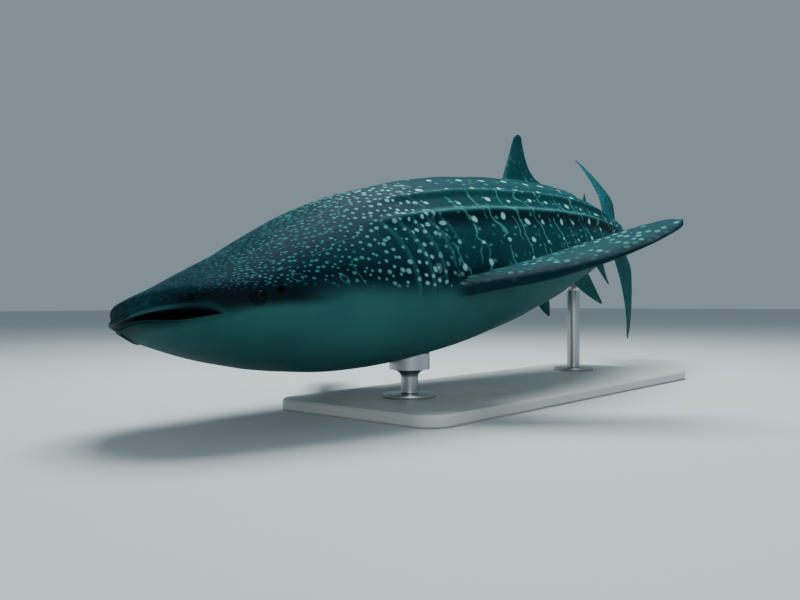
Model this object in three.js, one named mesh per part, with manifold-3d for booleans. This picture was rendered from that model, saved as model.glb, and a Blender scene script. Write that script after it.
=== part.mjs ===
// A whale shark at life size, as a museum shows it: banked and slightly nose-down in a slow turn to its right,
// the tail swung away, carried on two rods over a flat base.
//
// The animal is first described straight: s runs back from the snout as a share of the total length, y to its
// left and z up, both in millimetres. place() then bends it along its centreline and tips it into its pose.
// Everything is in millimetres, +Z up, +X towards the head, +Y to the animal's left, with the origin at the
// middle of the base's underside.

import * as THREE from "three";
import { mergeVertices } from "three/addons/utils/BufferGeometryUtils.js";
import Module from "manifold-3d";

const wasm = await Module();
wasm.setup();

// Driving dimensions
const TOTAL_LENGTH = 7500; // snout to the tip of the upper tail lobe, with the body straightened
const GAP = 0.3; // between parts that touch
const DIVE = THREE.MathUtils.degToRad(8); // nose below level
const BANK = THREE.MathUtils.degToRad(12); // left side above level
const SNOUT_X = 3060; // snout ahead of the middle of the base
const SNOUT_Y = -140; // and to its side
const SNOUT_HEIGHT = 630; // snout above the floor
const BASE_LENGTH = 3600;
const BASE_WIDTH = 1300;
const BASE_THICKNESS = 70;
const ROD_RADIUS = 55;

// A share of the total length, in millimetres.
const mm = (share) => share * TOTAL_LENGTH;

// A smooth curve through rows of [x, y, ...] that doesn't overshoot them (monotone cubic), for the given column.
function curve(rows, column = 1) {
  const x = rows.map((row) => row[0]);
  const y = rows.map((row) => row[column]);
  const slope = x.slice(1).map((v, i) => (y[i + 1] - y[i]) / (v - x[i]));
  const tangent = x.map((_, i) => {
    if (i === 0) return slope[0];
    if (i === x.length - 1) return slope[i - 1];
    const [a, b] = [slope[i - 1], slope[i]];
    return a * b <= 0 ? 0 : (2 * a * b) / (a + b);
  });
  return (v) => {
    if (v <= x[0]) return y[0];
    if (v >= x[x.length - 1]) return y[y.length - 1];
    const i = x.findIndex((next) => next > v) - 1;
    const h = x[i + 1] - x[i];
    const t = (v - x[i]) / h;
    return (
      y[i] * (1 + 2 * t) * (1 - t) ** 2 +
      tangent[i] * h * t * (1 - t) ** 2 +
      y[i + 1] * t * t * (3 - 2 * t) +
      tangent[i + 1] * h * t * t * (t - 1)
    );
  };
}

const clamp = (v, low, high) => Math.min(high, Math.max(low, v));

// 0 below low, 1 above high, and smooth between.
function smooth(low, high, v) {
  const t = clamp((v - low) / (high - low), 0, 1);
  return t * t * (3 - 2 * t);
}

// The centreline: straight through the skull, then a gentle turn that tightens towards the tail.
const SKULL_END = 0.08;
const LEVEL_STATION = 0.3; // where the body heads straight along -X
const BODY_TURN = -0.365; // radians of heading for each total length
const TAIL_TURN = -0.123; // radians more across the tail
const TAIL_RISE = 0.02;
const TAIL_START = 0.5;
const TAIL_REACH = 0.3;

const tailShare = (s) => clamp((s - TAIL_START) / TAIL_REACH, 0, 1.2) ** 2;
const heading = (s) =>
  BODY_TURN * (Math.max(s, SKULL_END) - LEVEL_STATION) +
  TAIL_TURN * tailShare(s);

const CENTRELINE_STEPS = 420;
const CENTRELINE_END = 1.05;
const centreline = [{ back: 0, left: 0, up: 0 }];
for (let i = 1; i <= CENTRELINE_STEPS; i += 1) {
  const step = CENTRELINE_END / CENTRELINE_STEPS;
  const middle = (i - 0.5) * step;
  const last = centreline[i - 1];
  centreline.push({
    back: last.back + Math.cos(heading(middle)) * step,
    left: last.left + Math.sin(heading(middle)) * step,
    up: last.up + Math.sin(TAIL_RISE * tailShare(middle)) * step,
  });
}

// The animal's frame has its zero where a straight line ahead from the level station would put the snout.
const level = centreline[(LEVEL_STATION / CENTRELINE_END) * CENTRELINE_STEPS];
const shift = { back: LEVEL_STATION - level.back, left: -level.left };
for (const point of centreline) {
  point.back += shift.back;
  point.left += shift.left;
}

function centreAt(s) {
  const at = clamp(s / CENTRELINE_END, 0, 1) * CENTRELINE_STEPS;
  const i = Math.min(Math.floor(at), CENTRELINE_STEPS - 1);
  const t = at - i;
  const [a, b] = [centreline[i], centreline[i + 1]];
  const extra = Math.min(s, 0); // ahead of the snout, straight on
  return {
    back: a.back + (b.back - a.back) * t + extra * Math.cos(heading(0)),
    left: a.left + (b.left - a.left) * t + extra * Math.sin(heading(0)),
    up: a.up + (b.up - a.up) * t,
  };
}

const pose = new THREE.Matrix4()
  .makeTranslation(SNOUT_X, SNOUT_Y, SNOUT_HEIGHT)
  .multiply(new THREE.Matrix4().makeRotationY(DIVE))
  .multiply(new THREE.Matrix4().makeRotationX(BANK));

// A point of the straight animal, (share, mm, mm), in the part's frame.
function place(s, y, z) {
  const centre = centreAt(s);
  const turn = heading(s);
  return new THREE.Vector3(
    -(mm(centre.back) - Math.sin(turn) * y),
    mm(centre.left) + Math.cos(turn) * y,
    z + mm(centre.up),
  ).applyMatrix4(pose);
}

// The body's lines, as shares of the total length: [station, top, bottom, half width].
const BODY_LINES = [
  [0.0, 0.0082, -0.007, 0.0464],
  [0.01, 0.0115, -0.0122, 0.0553],
  [0.02, 0.0141, -0.0175, 0.061],
  [0.05, 0.0235, -0.034, 0.0693],
  [0.075, 0.0312, -0.0456, 0.0745],
  [0.1, 0.041, -0.055, 0.0787],
  [0.15, 0.0566, -0.068, 0.0845],
  [0.2, 0.0665, -0.075, 0.0875],
  [0.25, 0.0714, -0.0775, 0.0875],
  [0.3, 0.0733, -0.0765, 0.0855],
  [0.4, 0.0706, -0.0686, 0.078],
  [0.5, 0.0622, -0.055, 0.0665],
  [0.6, 0.0474, -0.039, 0.0477],
  [0.7, 0.0303, -0.024, 0.0278],
  [0.78, 0.021, -0.0165, 0.018],
  [0.81, 0.0165, -0.012, 0.011],
  [0.838, 0.0035, -0.0025, 0.0018],
];
const topAt = curve(BODY_LINES, 1);
const bottomAt = curve(BODY_LINES, 2);
const widthAt = curve(BODY_LINES, 3);
const WIDEST_LEVEL = 0.18; // share of the bottom's depth at which a section is widest
const SIDE_POWER = 2 / 2.3;
const TOP_POWER = 2 / 2.1;
const BOTTOM_POWER = 2 / 2.3;
const NOSE_ROUNDING = 0.01; // the snout closes over this length, in plan
const NOSE_POWER = 2.8;
const LIP_ROUNDING = 0.0045; // and over this one, from the side
const SNOUT_SWEEP = 0.02; // how far the front edge falls back at its sides
const SNOUT_SWEEP_FADE = 0.03;

// The three long ridges of each flank: their angle from the middle of the back, in degrees, and their height.
const RIDGES = [
  {
    angle: curve([
      [0.18, 22],
      [0.6, 28],
    ]),
    height: (s) =>
      0.0018 * smooth(0.17, 0.23, s) * (1 - smooth(0.54, 0.62, s)),
  },
  {
    angle: curve([
      [0.18, 43],
      [0.55, 58],
      [0.7, 62],
    ]),
    height: (s) =>
      0.003 * smooth(0.16, 0.22, s) * (1 - smooth(0.58, 0.68, s)),
  },
  {
    angle: curve([
      [0.16, 59],
      [0.53, 75],
      [0.74, 90],
    ]),
    height: (s) =>
      0.0034 * smooth(0.15, 0.2, s) +
      0.0045 * smooth(0.66, 0.74, s) -
      0.0079 * smooth(0.8, 0.836, s),
  },
];
const RIDGE_SPREAD = 4; // degrees from crest to foot

// The spine's own low crest, from the nape to the first dorsal fin.
const crestHeight = (s) =>
  0.0015 * smooth(0.1, 0.2, s) * (1 - smooth(0.66, 0.74, s));

// A section's half width, the level at which it is widest, and its rise and fall from there, in millimetres.
function section(s) {
  const nose = clamp(1 - s / NOSE_ROUNDING, 0, 1);
  const lip = clamp(1 - s / LIP_ROUNDING, 0, 1);
  const open = Math.sqrt(1 - lip * lip);
  const middle = mm(bottomAt(s)) * WIDEST_LEVEL;
  return {
    width: mm(widthAt(s)) * (1 - nose ** NOSE_POWER) ** (1 / NOSE_POWER),
    middle,
    rise: (mm(topAt(s)) - middle) * open,
    fall: (middle - mm(bottomAt(s))) * open,
  };
}

// The front of the head is a shallow arc in plan, so its sides lie further back.
const sweepBack = (s, y) =>
  SNOUT_SWEEP *
  Math.exp(-s / SNOUT_SWEEP_FADE) *
  Math.abs(y / mm(widthAt(s))) ** 3;

// A point of the straight skin: phi runs from 0 on the back through 90 degrees on the left side to 180 below.
function skin(s, phi, grow = 0) {
  const { width, middle, rise, fall } = section(s);
  const side = Math.abs(phi);
  const sine = Math.sin(THREE.MathUtils.degToRad(phi));
  const cosine = Math.cos(THREE.MathUtils.degToRad(phi));
  const height =
    side <= 90 ? rise * cosine ** TOP_POWER : -fall * (-cosine) ** BOTTOM_POWER;
  let y = width * Math.sign(sine) * Math.abs(sine) ** SIDE_POWER;
  let z = height || 0;
  const sweep = sweepBack(s, y);
  const reach = Math.hypot(y, z) || 1;
  let raised = grow + mm(crestHeight(s)) * Math.max(0, 1 - side / RIDGE_SPREAD);
  for (const ridge of RIDGES) {
    const away = Math.abs(side - ridge.angle(s)) / RIDGE_SPREAD;
    raised += mm(ridge.height(s)) * Math.max(0, 1 - away);
  }
  y += (y / reach) * raised;
  z += (z / reach) * raised;
  return { s: s + sweep, y, z: z + middle };
}

// Whether a point of the straight animal lies inside the smooth skin.
function insideSkin(s, y, z) {
  let station = s;
  for (let i = 0; i < 30; i += 1)
    station = s - sweepBack(Math.max(station, 0), y);
  if (station <= 0) return false;
  const { width, middle, rise, fall } = section(station);
  const up = z >= middle;
  const height = Math.abs(z - middle) / (up ? rise : fall);
  const power = up ? TOP_POWER : BOTTOM_POWER;
  return (Math.abs(y) / width) ** (2 / SIDE_POWER) + height ** (2 / power) < 1;
}

function skinPoint(s, phi, grow = 0) {
  const at = skin(s, phi, grow);
  return place(at.s, at.y, at.z);
}

// The angles of a ring's vertices, which keep to the ridges' crests and feet as these wander along the body.
const BELLY_STEPS = 7;
function ringAngles(s) {
  const half = [0, RIDGE_SPREAD];
  let last = RIDGE_SPREAD;
  for (const ridge of RIDGES) {
    const crest = ridge.angle(s);
    half.push((last + crest - RIDGE_SPREAD) / 2, crest - RIDGE_SPREAD, crest);
    half.push(crest + RIDGE_SPREAD);
    last = crest + RIDGE_SPREAD;
  }
  for (let i = 1; i <= BELLY_STEPS; i += 1)
    half.push(last + ((180 - last) * i) / BELLY_STEPS);
  const other = half.slice(1, -1).reverse();
  return [...half, ...other.map((angle) => -angle)];
}

// A closed skin over rings of equally many points, with each end drawn to its middle.
function loft(rings) {
  const count = rings[0].length;
  const points = rings.flat();
  const index = [];
  for (let r = 0; r + 1 < rings.length; r += 1)
    for (let i = 0; i < count; i += 1) {
      const [a, b] = [r * count + i, r * count + ((i + 1) % count)];
      index.push(a, b, a + count, b, b + count, a + count);
    }
  [rings[0], rings[rings.length - 1]].forEach((ring, end) => {
    const middle = new THREE.Vector3();
    ring.forEach((point) => middle.addScaledVector(point, 1 / count));
    const start = end === 0 ? 0 : (rings.length - 1) * count;
    points.push(middle);
    for (let i = 0; i < count; i += 1) {
      const [a, b] = [start + i, start + ((i + 1) % count)];
      index.push(points.length - 1, ...(end === 0 ? [b, a] : [a, b]));
    }
  });
  return new THREE.BufferGeometry().setFromPoints(points).setIndex(index);
}

// Solids for cutting and joining
const SLIVER = 0.02; // edges shorter than this are closed up
function solid(geometry) {
  const bare = geometry.index ? geometry.toNonIndexed() : geometry.clone();
  bare.deleteAttribute("normal");
  bare.deleteAttribute("uv");
  const merged = mergeVertices(bare, 1e-3);
  const made = new wasm.Manifold(
    new wasm.Mesh({
      numProp: 3,
      vertProperties: new Float32Array(merged.attributes.position.array),
      triVerts: new Uint32Array(merged.index.array),
    }),
  );
  if (made.volume() >= 0) return made;
  const turned = Array.from(merged.index.array);
  for (let i = 0; i < turned.length; i += 3)
    [turned[i + 1], turned[i + 2]] = [turned[i + 2], turned[i + 1]];
  merged.setIndex(turned);
  return solid(merged);
}

const largest = (shape) =>
  shape.decompose().reduce((a, b) => (b.volume() > a.volume() ? b : a));

function geometryOf(shape) {
  const mesh = largest(shape).simplify(SLIVER).getMesh();
  return new THREE.BufferGeometry()
    .setAttribute(
      "position",
      new THREE.BufferAttribute(new Float32Array(mesh.vertProperties), 3),
    )
    .setIndex(new THREE.BufferAttribute(new Uint32Array(mesh.triVerts), 1));
}

// Materials
const finish = (color, roughness) =>
  new THREE.MeshStandardMaterial({ color, roughness, metalness: 0 });
const HIDE = finish(0x2f4f55, 0.55);
const FIN_HIDE = finish(0x3a5f64, 0.55);
const THROAT = finish(0xb9c6bb, 0.6);
const EYE = finish(0x080a0c, 0.1);
const PAINTED_BASE = finish(0xd8d6d0, 0.5);
const STEEL = new THREE.MeshStandardMaterial({
  color: 0x9a9da0,
  roughness: 0.35,
  metalness: 1,
});

const shark = new THREE.Group();
function add(name, shape, material) {
  const mesh = new THREE.Mesh(geometryOf(shape), material);
  mesh.name = name;
  shark.add(mesh);
}

// Trunk lengths, from the snout to the tail's root. Neighbours share the ring where they meet.
const HALF_GAP = GAP / 2 / TOTAL_LENGTH;
function trunkLength(stations, grow = 0) {
  const last = stations.length - 1;
  const end = grow > 0 ? 2 * HALF_GAP : -HALF_GAP;
  return loft(
    stations.map((s, i) => {
      const inset = i === 0 && s > 0.05 ? HALF_GAP : i === last ? end : 0;
      return ringAngles(s).map((phi) => skinPoint(s + inset, phi, grow));
    }),
  );
}

// Evenly spaced stations from first to last.
const evenly = (first, last, steps) =>
  Array.from({ length: steps + 1 }, (_, i) => first + ((last - first) * i) / steps);

const HEAD_STATIONS = [
  0.0003, 0.0012, 0.003, 0.006, 0.011, 0.018, 0.027, 0.038, 0.05, 0.064, 0.08,
  0.1, 0.125,
];
const SHOULDER_STATIONS = evenly(0.125, 0.275, 7);
const FLANK_STATIONS = evenly(0.275, 0.42, 5);
const LOIN_STATIONS = evenly(0.42, 0.6, 6);
const TAIL_STOCK_STATIONS = [
  ...evenly(0.6, 0.78, 6),
  0.795, 0.81, 0.822, 0.832, 0.838,
];

const SWELL = 1.4 * GAP; // how much a neighbour is swollen before it cuts, so that a slanted face keeps the gap
const swollenTrunk = solid(
  trunkLength(
    [
      ...HEAD_STATIONS,
      ...SHOULDER_STATIONS.slice(1),
      ...FLANK_STATIONS.slice(1),
      ...LOIN_STATIONS.slice(1),
      ...TAIL_STOCK_STATIONS.slice(1),
    ],
    SWELL,
  ),
);

// The mouth: a long lens-shaped slot across the whole front of the head, seen from the side.
const MOUTH_CORNER = 0.038;
const CORNER_HEIGHT = -0.0151;
const upperLipLine = curve([
  [0, -0.0028],
  [0.008, -0.0038],
  [0.016, -0.0056],
  [0.024, -0.0083],
  [0.031, -0.0111],
  [MOUTH_CORNER, CORNER_HEIGHT + 0.0001],
]);
const lowerLipLine = curve([
  [0, -0.0052],
  [0.005, -0.0073],
  [0.012, -0.0102],
  [0.02, -0.0128],
  [0.028, -0.0141],
  [MOUTH_CORNER, CORNER_HEIGHT - 0.0001],
]);
const JAW_HINGE = 0.07; // station at which the jaw's cut leaves the throat
const FAR_BELOW = -0.08;
const FAR_ABOVE = 0.08;
const AHEAD = -0.03;
const BEHIND = 0.14;

// A flat outline of [station, height] shares, extruded across the head.
const HALF_ACROSS = 0.11;
function acrossHead(outline) {
  const shape = new THREE.Shape(
    outline.map(([s, z]) => new THREE.Vector2(mm(s), mm(z))),
  );
  const geometry = new THREE.ExtrudeGeometry(shape, {
    depth: 2 * mm(HALF_ACROSS),
    bevelEnabled: false,
  });
  const origin = place(0, 0, 0);
  const back = place(0.1, 0, 0).sub(origin).normalize();
  const up = place(0, 0, 100).sub(origin).normalize();
  const left = place(0, 100, 0).sub(origin).normalize();
  const frame = new THREE.Matrix4().makeBasis(back, up, left);
  frame.setPosition(origin.addScaledVector(left, -mm(HALF_ACROSS)));
  return solid(geometry.applyMatrix4(frame));
}

const MOUTH_STEPS = [0, 0.004, 0.008, 0.012, 0.016, 0.02, 0.024, 0.028, 0.033];
const mouthEdge = (line) =>
  [...MOUTH_STEPS, MOUTH_CORNER].map((s) => [s, line(s)]);
const upperEdge = mouthEdge(upperLipLine);
const lowerEdge = mouthEdge(lowerLipLine);
const cutShare = GAP / TOTAL_LENGTH;
const upperHead = acrossHead([
  [AHEAD, upperEdge[0][1]],
  ...upperEdge,
  [MOUTH_CORNER + cutShare, CORNER_HEIGHT],
  [JAW_HINGE + cutShare, FAR_BELOW],
  [BEHIND, FAR_BELOW],
  [BEHIND, FAR_ABOVE],
  [AHEAD, FAR_ABOVE],
]);
const lowerHead = acrossHead([
  [AHEAD, lowerEdge[0][1]],
  [AHEAD, FAR_BELOW],
  [JAW_HINGE - cutShare, FAR_BELOW],
  ...lowerEdge.slice().reverse(),
]);

// Where a level cuts the left side of the skin at a station: the angle at which the skin has that height.
function angleAtHeight(s, z) {
  let [low, high] = [0, 180];
  for (let i = 0; i < 40; i += 1) {
    const middle = (low + high) / 2;
    if (skin(s, middle).z > z) low = middle;
    else high = middle;
  }
  return (low + high) / 2;
}

// A lip: a round roll along one edge of the mouth, from corner to corner round the front.
const LIP_RADIUS = 0.0017;
const LIP_STEPS = 18;
const LIP_SIDES = 6;
const LIP_END = 86; // degrees each way from straight ahead at which a lip fades out
const MOUTH_HALF_WIDTH = 0.066;
function lipPoint(edgeHeight, degrees) {
  const turn = THREE.MathUtils.degToRad(degrees);
  const at = (r) => {
    const s = MOUTH_CORNER * (1 - r * Math.cos(turn));
    const y = mm(MOUTH_HALF_WIDTH) * r * Math.sin(turn);
    return [s, y, mm(edgeHeight(Math.max(s, 0)))];
  };
  let [low, high] = [0, 1.5];
  for (let i = 0; i < 40; i += 1) {
    const middle = (low + high) / 2;
    if (insideSkin(...at(middle))) low = middle;
    else high = middle;
  }
  return place(...at(low));
}
function lip(edgeHeight) {
  const path = evenly(-LIP_END, LIP_END, LIP_STEPS).map((degrees) =>
    lipPoint(edgeHeight, degrees),
  );
  const rings = path.map((point, i) => {
    const ahead = path[Math.min(i + 1, path.length - 1)];
    const behind = path[Math.max(i - 1, 0)];
    const along = ahead.clone().sub(behind).normalize();
    const up = new THREE.Vector3(0, 0, 1);
    const out = new THREE.Vector3().crossVectors(along, up).normalize();
    const over = new THREE.Vector3().crossVectors(out, along);
    const end = Math.min(i, path.length - 1 - i);
    const radius = mm(LIP_RADIUS) * Math.min(1, 0.4 + 0.2 * end);
    return evenly(0, 2 * Math.PI, LIP_SIDES)
      .slice(1)
      .map((turn) =>
        point
          .clone()
          .addScaledVector(out, radius * Math.cos(turn))
          .addScaledVector(over, radius * Math.sin(turn)),
      );
  });
  return solid(loft(rings));
}
const upperLip = lip((s) => upperLipLine(s) + 0.8 * LIP_RADIUS);
const lowerLip = lip((s) => lowerLipLine(s) - 0.8 * LIP_RADIUS);

// A ball or ellipsoid set on the skin at a station and angle, sunk by a share of its radius.
function bead(s, phi, radii, sunk) {
  const at = skinPoint(s, phi);
  const out = at.clone().sub(skinPoint(s, phi, -50)).normalize();
  const along = skinPoint(s + 0.005, phi).sub(skinPoint(s - 0.005, phi));
  along.addScaledVector(out, -along.dot(out)).normalize();
  const across = new THREE.Vector3().crossVectors(out, along);
  const geometry = new THREE.SphereGeometry(1, 12, 8).scale(...radii);
  const frame = new THREE.Matrix4().makeBasis(along, across, out);
  frame.setPosition(at.addScaledVector(out, -sunk));
  return solid(geometry.applyMatrix4(frame));
}

const EYE_STATION = 0.0557;
const EYE_HEIGHT = -0.0098;
const EYE_RADIUS = 33;
const EYE_SUNK = 17;
const RIM_RADIUS = 8;
const SPIRACLE_STATION = 0.071;
const SPIRACLE_RADIUS = 24;
const NOSTRIL_STATION = 0.0045;
const NOSTRIL_HEIGHT = -0.0012;
const NASAL_FLAP = [34, 20, 20]; // half length, half width, half height

const eyeAngle = angleAtHeight(EYE_STATION, mm(EYE_HEIGHT));
const spiracleAngle = angleAtHeight(SPIRACLE_STATION, mm(EYE_HEIGHT + 0.001));
const nostrilAngle = angleAtHeight(
  NOSTRIL_STATION,
  mm(NOSTRIL_HEIGHT),
);

let head = solid(trunkLength(HEAD_STATIONS)).intersect(upperHead);
for (const side of [1, -1]) {
  const rim = bead(
    EYE_STATION,
    side * eyeAngle,
    [EYE_RADIUS + RIM_RADIUS, EYE_RADIUS + RIM_RADIUS, RIM_RADIUS + 6],
    2,
  );
  const flap = bead(NOSTRIL_STATION, side * nostrilAngle, NASAL_FLAP, 4);
  const socket = bead(
    EYE_STATION,
    side * eyeAngle,
    Array(3).fill(EYE_RADIUS + SWELL),
    EYE_SUNK,
  );
  const spiracle = bead(
    SPIRACLE_STATION,
    side * spiracleAngle,
    [SPIRACLE_RADIUS, SPIRACLE_RADIUS * 0.7, SPIRACLE_RADIUS],
    4,
  );
  head = head.add(rim).add(flap).subtract(socket).subtract(spiracle);
}
const jaw = solid(trunkLength(HEAD_STATIONS)).intersect(lowerHead);
const aboveMouth = upperHead.subtract(
  acrossHead([
    [MOUTH_CORNER - 0.002, FAR_BELOW],
    [BEHIND, FAR_BELOW],
    [BEHIND, CORNER_HEIGHT],
    [MOUTH_CORNER - 0.002, CORNER_HEIGHT],
  ]),
);
add("head", head.add(upperLip.intersect(aboveMouth)), HIDE);
add("lower_jaw", jaw.add(lowerLip.intersect(lowerHead)), THROAT);
for (const [name, side] of [
  ["eye_left", 1],
  ["eye_right", -1],
])
  add(
    name,
    bead(EYE_STATION, side * eyeAngle, Array(3).fill(EYE_RADIUS), EYE_SUNK),
    EYE,
  );

// Five gill flaps on each side: the skin lifts towards the free rear edge and drops into the slit behind it.
const GILL_COUNT = 5;
const GILL_FIRST = 0.165; // station of the first slit's upper end
const GILL_PITCH = 0.0145;
const GILL_TOP = [54, 57, 60, 62, 64]; // degrees from the middle of the back
const GILL_FOOT = [108, 106, 101, 93, 85];
const GILL_RAKE = 0.00032; // how far each degree downwards lies further back
const GILL_BOW = 0.004;
const GILL_SPAN = [54, 108]; // degrees between which the slits bow rearwards
const GILL_FLAP = 0.011; // from the fold's front to its free edge
const GILL_RISE = 30;
const GILL_STEPS = 9;

// How far behind its upper end a slit lies at an angle; the five slits run side by side.
function gillBend(phi) {
  const [top, foot] = GILL_SPAN;
  const t = clamp((phi - top) / (foot - top), 0, 1);
  return GILL_RAKE * (phi - top) + GILL_BOW * Math.sin(Math.PI * t);
}
function gillFlap(number, side) {
  const rings = [];
  for (let i = 0; i <= GILL_STEPS; i += 1) {
    const t = i / GILL_STEPS;
    const phi =
      GILL_TOP[number] + (GILL_FOOT[number] - GILL_TOP[number]) * t;
    const s = GILL_FIRST + GILL_PITCH * number + gillBend(phi);
    const swell = Math.sin(Math.PI * (0.04 + 0.92 * t)) ** 0.7;
    rings.push([
      skinPoint(s - GILL_FLAP, side * phi, -8),
      skinPoint(s - 0.002, side * phi, GILL_RISE * swell - 7),
      skinPoint(s + 0.0012, side * phi, GILL_RISE * swell - 12),
      skinPoint(s + 0.0004, side * phi, -14),
    ]);
  }
  return solid(loft(rings));
}
let shoulder = solid(trunkLength(SHOULDER_STATIONS));
for (let number = 0; number < GILL_COUNT; number += 1)
  for (const side of [1, -1]) shoulder = shoulder.add(gillFlap(number, side));

// Fins: a foil section carried along rows of [span, leading edge, trailing edge], all shares of the length.
const FOIL = [
  [0, 0],
  [0.06, 0.62],
  [0.28, 1],
  [0.6, 0.72],
  [0.97, 0.1],
];
function foilRing(at, leading, trailing, thickness) {
  const chord = trailing - leading;
  const upper = FOIL.slice(1).map(([c, t]) =>
    at(leading + chord * c, (thickness * t) / 2),
  );
  const lower = FOIL.slice(1)
    .reverse()
    .map(([c, t]) => at(leading + chord * c, (-thickness * t) / 2));
  return [at(leading, 0), ...upper, at(trailing, 0), ...lower];
}

// origin: [s, y, z] shares; chord and span: unit directions in the straight animal; rise: span's own bend.
function fin({ origin, span, chord, rows, thickness, steps, pitch, rise }) {
  const leading = curve(rows, 1);
  const trailing = curve(rows, 2);
  const [low, high] = [rows[0][0], rows[rows.length - 1][0]];
  const rings = [];
  for (let i = 0; i <= steps; i += 1) {
    const h = low + (high - low) * (1 - (1 - i / steps) ** 1.35);
    const turned = chord.clone().applyAxisAngle(span, pitch ? pitch(h) : 0);
    const normal = new THREE.Vector3().crossVectors(span, turned);
    rings.push(
      foilRing(
        (c, n) => {
          const at = new THREE.Vector3(...origin)
            .addScaledVector(span, h)
            .addScaledVector(turned, c)
            .addScaledVector(normal, n + (rise ? rise(h) : 0));
          return place(at.x, mm(at.y), mm(at.z));
        },
        leading(h),
        trailing(h),
        thickness(h),
      ),
    );
  }
  return solid(loft(rings)).subtract(swollenTrunk);
}

const straightBack = new THREE.Vector3(1, 0, 0);
const straightUp = new THREE.Vector3(0, 0, 1);
const straightDown = new THREE.Vector3(0, 0, -1);

const PECTORAL_SPAN = 0.196;
const PECTORAL_ROWS = [
  [-0.02, 0.004, 0.05],
  [0, 0, 0.053],
  [0.014, -0.004, 0.06],
  [0.035, -0.0075, 0.053],
  [0.08, -0.0115, 0.044],
  [0.12, -0.0105, 0.041],
  [0.155, -0.006, 0.037],
  [0.18, 0.001, 0.031],
  [0.192, 0.007, 0.0245],
  [PECTORAL_SPAN, 0.014, 0.018],
];
const PECTORAL_PITCH = curve([
  [0, -10],
  [0.05, -15.5],
  [0.1, -21],
  [PECTORAL_SPAN, -27],
]); // degrees; the leading edge is the lower one
const PECTORAL_DROOP = 0.0059; // how far the fin hangs below its span at mid-length
function pectoral(side) {
  const span = new THREE.Vector3(0.715, 0.7 * side, 0.011).normalize();
  const level = new THREE.Vector3(0.7, -0.715 * side, 0);
  const chord = level.addScaledVector(span, -level.dot(span)).normalize();
  return fin({
    origin: [0.2142, 0.0782 * side, -0.0332],
    span,
    chord,
    rows: PECTORAL_ROWS,
    thickness: (h) =>
      0.0155 * (1 - smooth(-0.02, 0.05, h)) +
      0.0105 * smooth(-0.02, 0.05, h) * (1 - smooth(0.05, PECTORAL_SPAN, h)) +
      0.003,
    steps: 13,
    pitch: (h) => side * THREE.MathUtils.degToRad(PECTORAL_PITCH(h)),
    rise: (h) =>
      side * PECTORAL_DROOP * Math.sin(Math.PI * clamp(h / PECTORAL_SPAN, 0, 1)),
  });
}

function dorsalFin(rows, station, height, thick, steps) {
  return fin({
    origin: [station, 0, height],
    span: straightUp,
    chord: straightBack,
    rows,
    thickness: (h) =>
      thick * (1 - 0.8 * smooth(0, rows[rows.length - 1][0], h)) +
      thick * 0.7 * (1 - smooth(-0.004, 0.014, h)),
    steps,
  });
}
const FIRST_DORSAL_ROWS = [
  [-0.03, 0.004, 0.1],
  [-0.008, 0.006, 0.112],
  [0, 0.014, 0.12],
  [0.005, 0.021, 0.1205],
  [0.013, 0.031, 0.107],
  [0.027, 0.0455, 0.0965],
  [0.042, 0.061, 0.096],
  [0.055, 0.074, 0.0985],
  [0.0615, 0.082, 0.1],
  [0.0645, 0.089, 0.097],
];
const SECOND_DORSAL_ROWS = [
  [-0.014, 0, 0.03],
  [0, 0.002, 0.038],
  [0.0045, 0.007, 0.038],
  [0.0105, 0.013, 0.0315],
  [0.019, 0.023, 0.032],
  [0.024, 0.03, 0.034],
];
const firstDorsal = dorsalFin(FIRST_DORSAL_ROWS, 0.43, 0.0635, 0.0105, 11);
const secondDorsal = dorsalFin(SECOND_DORSAL_ROWS, 0.655, 0.0345, 0.0055, 7);

const ANAL_ROWS = [
  [-0.012, 0, 0.028],
  [0, 0.002, 0.036],
  [0.006, 0.006, 0.037],
  [0.014, 0.013, 0.035],
  [0.026, 0.024, 0.0355],
  [0.034, 0.0335, 0.0385],
];
const analFin = fin({
  origin: [0.652, 0, -0.0295],
  span: straightDown,
  chord: straightBack,
  rows: ANAL_ROWS,
  thickness: (h) => 0.006 * (1 - 0.75 * smooth(0, 0.034, h)),
  steps: 7,
});

const PELVIC_ROWS = [
  [-0.014, 0.002, 0.036],
  [0, 0, 0.043],
  [0.008, 0.0015, 0.046],
  [0.02, 0.008, 0.043],
  [0.034, 0.0185, 0.038],
  [0.045, 0.029, 0.034],
];
function pelvic(side) {
  const span = new THREE.Vector3(0.28, 0.2 * side, -0.92).normalize();
  const level = straightBack.clone();
  const chord = level.addScaledVector(span, -level.dot(span)).normalize();
  return fin({
    origin: [0.508, 0.026 * side, -0.047],
    span,
    chord,
    rows: PELVIC_ROWS,
    thickness: (h) => 0.0075 * (1 - 0.75 * smooth(0, 0.045, h)),
    steps: 7,
  });
}

// The tail's two lobes stand in the body's own plane, above and below a level cut behind the tail stock.
const TAIL_ROOT = 0.775;
const TAIL_CUT = GAP / 2 / TOTAL_LENGTH;
const CURL_POWER = 1.7;
const LOBE_TWIST = THREE.MathUtils.degToRad(10); // the lobes turn back towards the body's line
const UPPER_LOBE_ROWS = [
  [TAIL_CUT, -0.004, 0.072],
  [0.018, 0, 0.08],
  [0.038, 0.02, 0.093],
  [0.062, 0.05, 0.109],
  [0.087, 0.087, 0.131],
  [0.109, 0.127, 0.159],
  [0.126, 0.165, 0.187],
  [0.138, 0.195, 0.2075],
  [0.143, 0.2105, 0.2145],
];
const UPPER_LOBE_CURL = -0.078; // how far the tip trails to the right
const LOWER_LOBE_ROWS = [
  [TAIL_CUT, -0.008, 0.072],
  [0.02, -0.005, 0.073],
  [0.045, 0.007, 0.075],
  [0.073, 0.025, 0.08],
  [0.101, 0.046, 0.0875],
  [0.128, 0.0685, 0.096],
  [0.149, 0.0865, 0.1025],
  [0.157, 0.096, 0.1015],
];
const LOWER_LOBE_CURL = -0.045;
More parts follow.
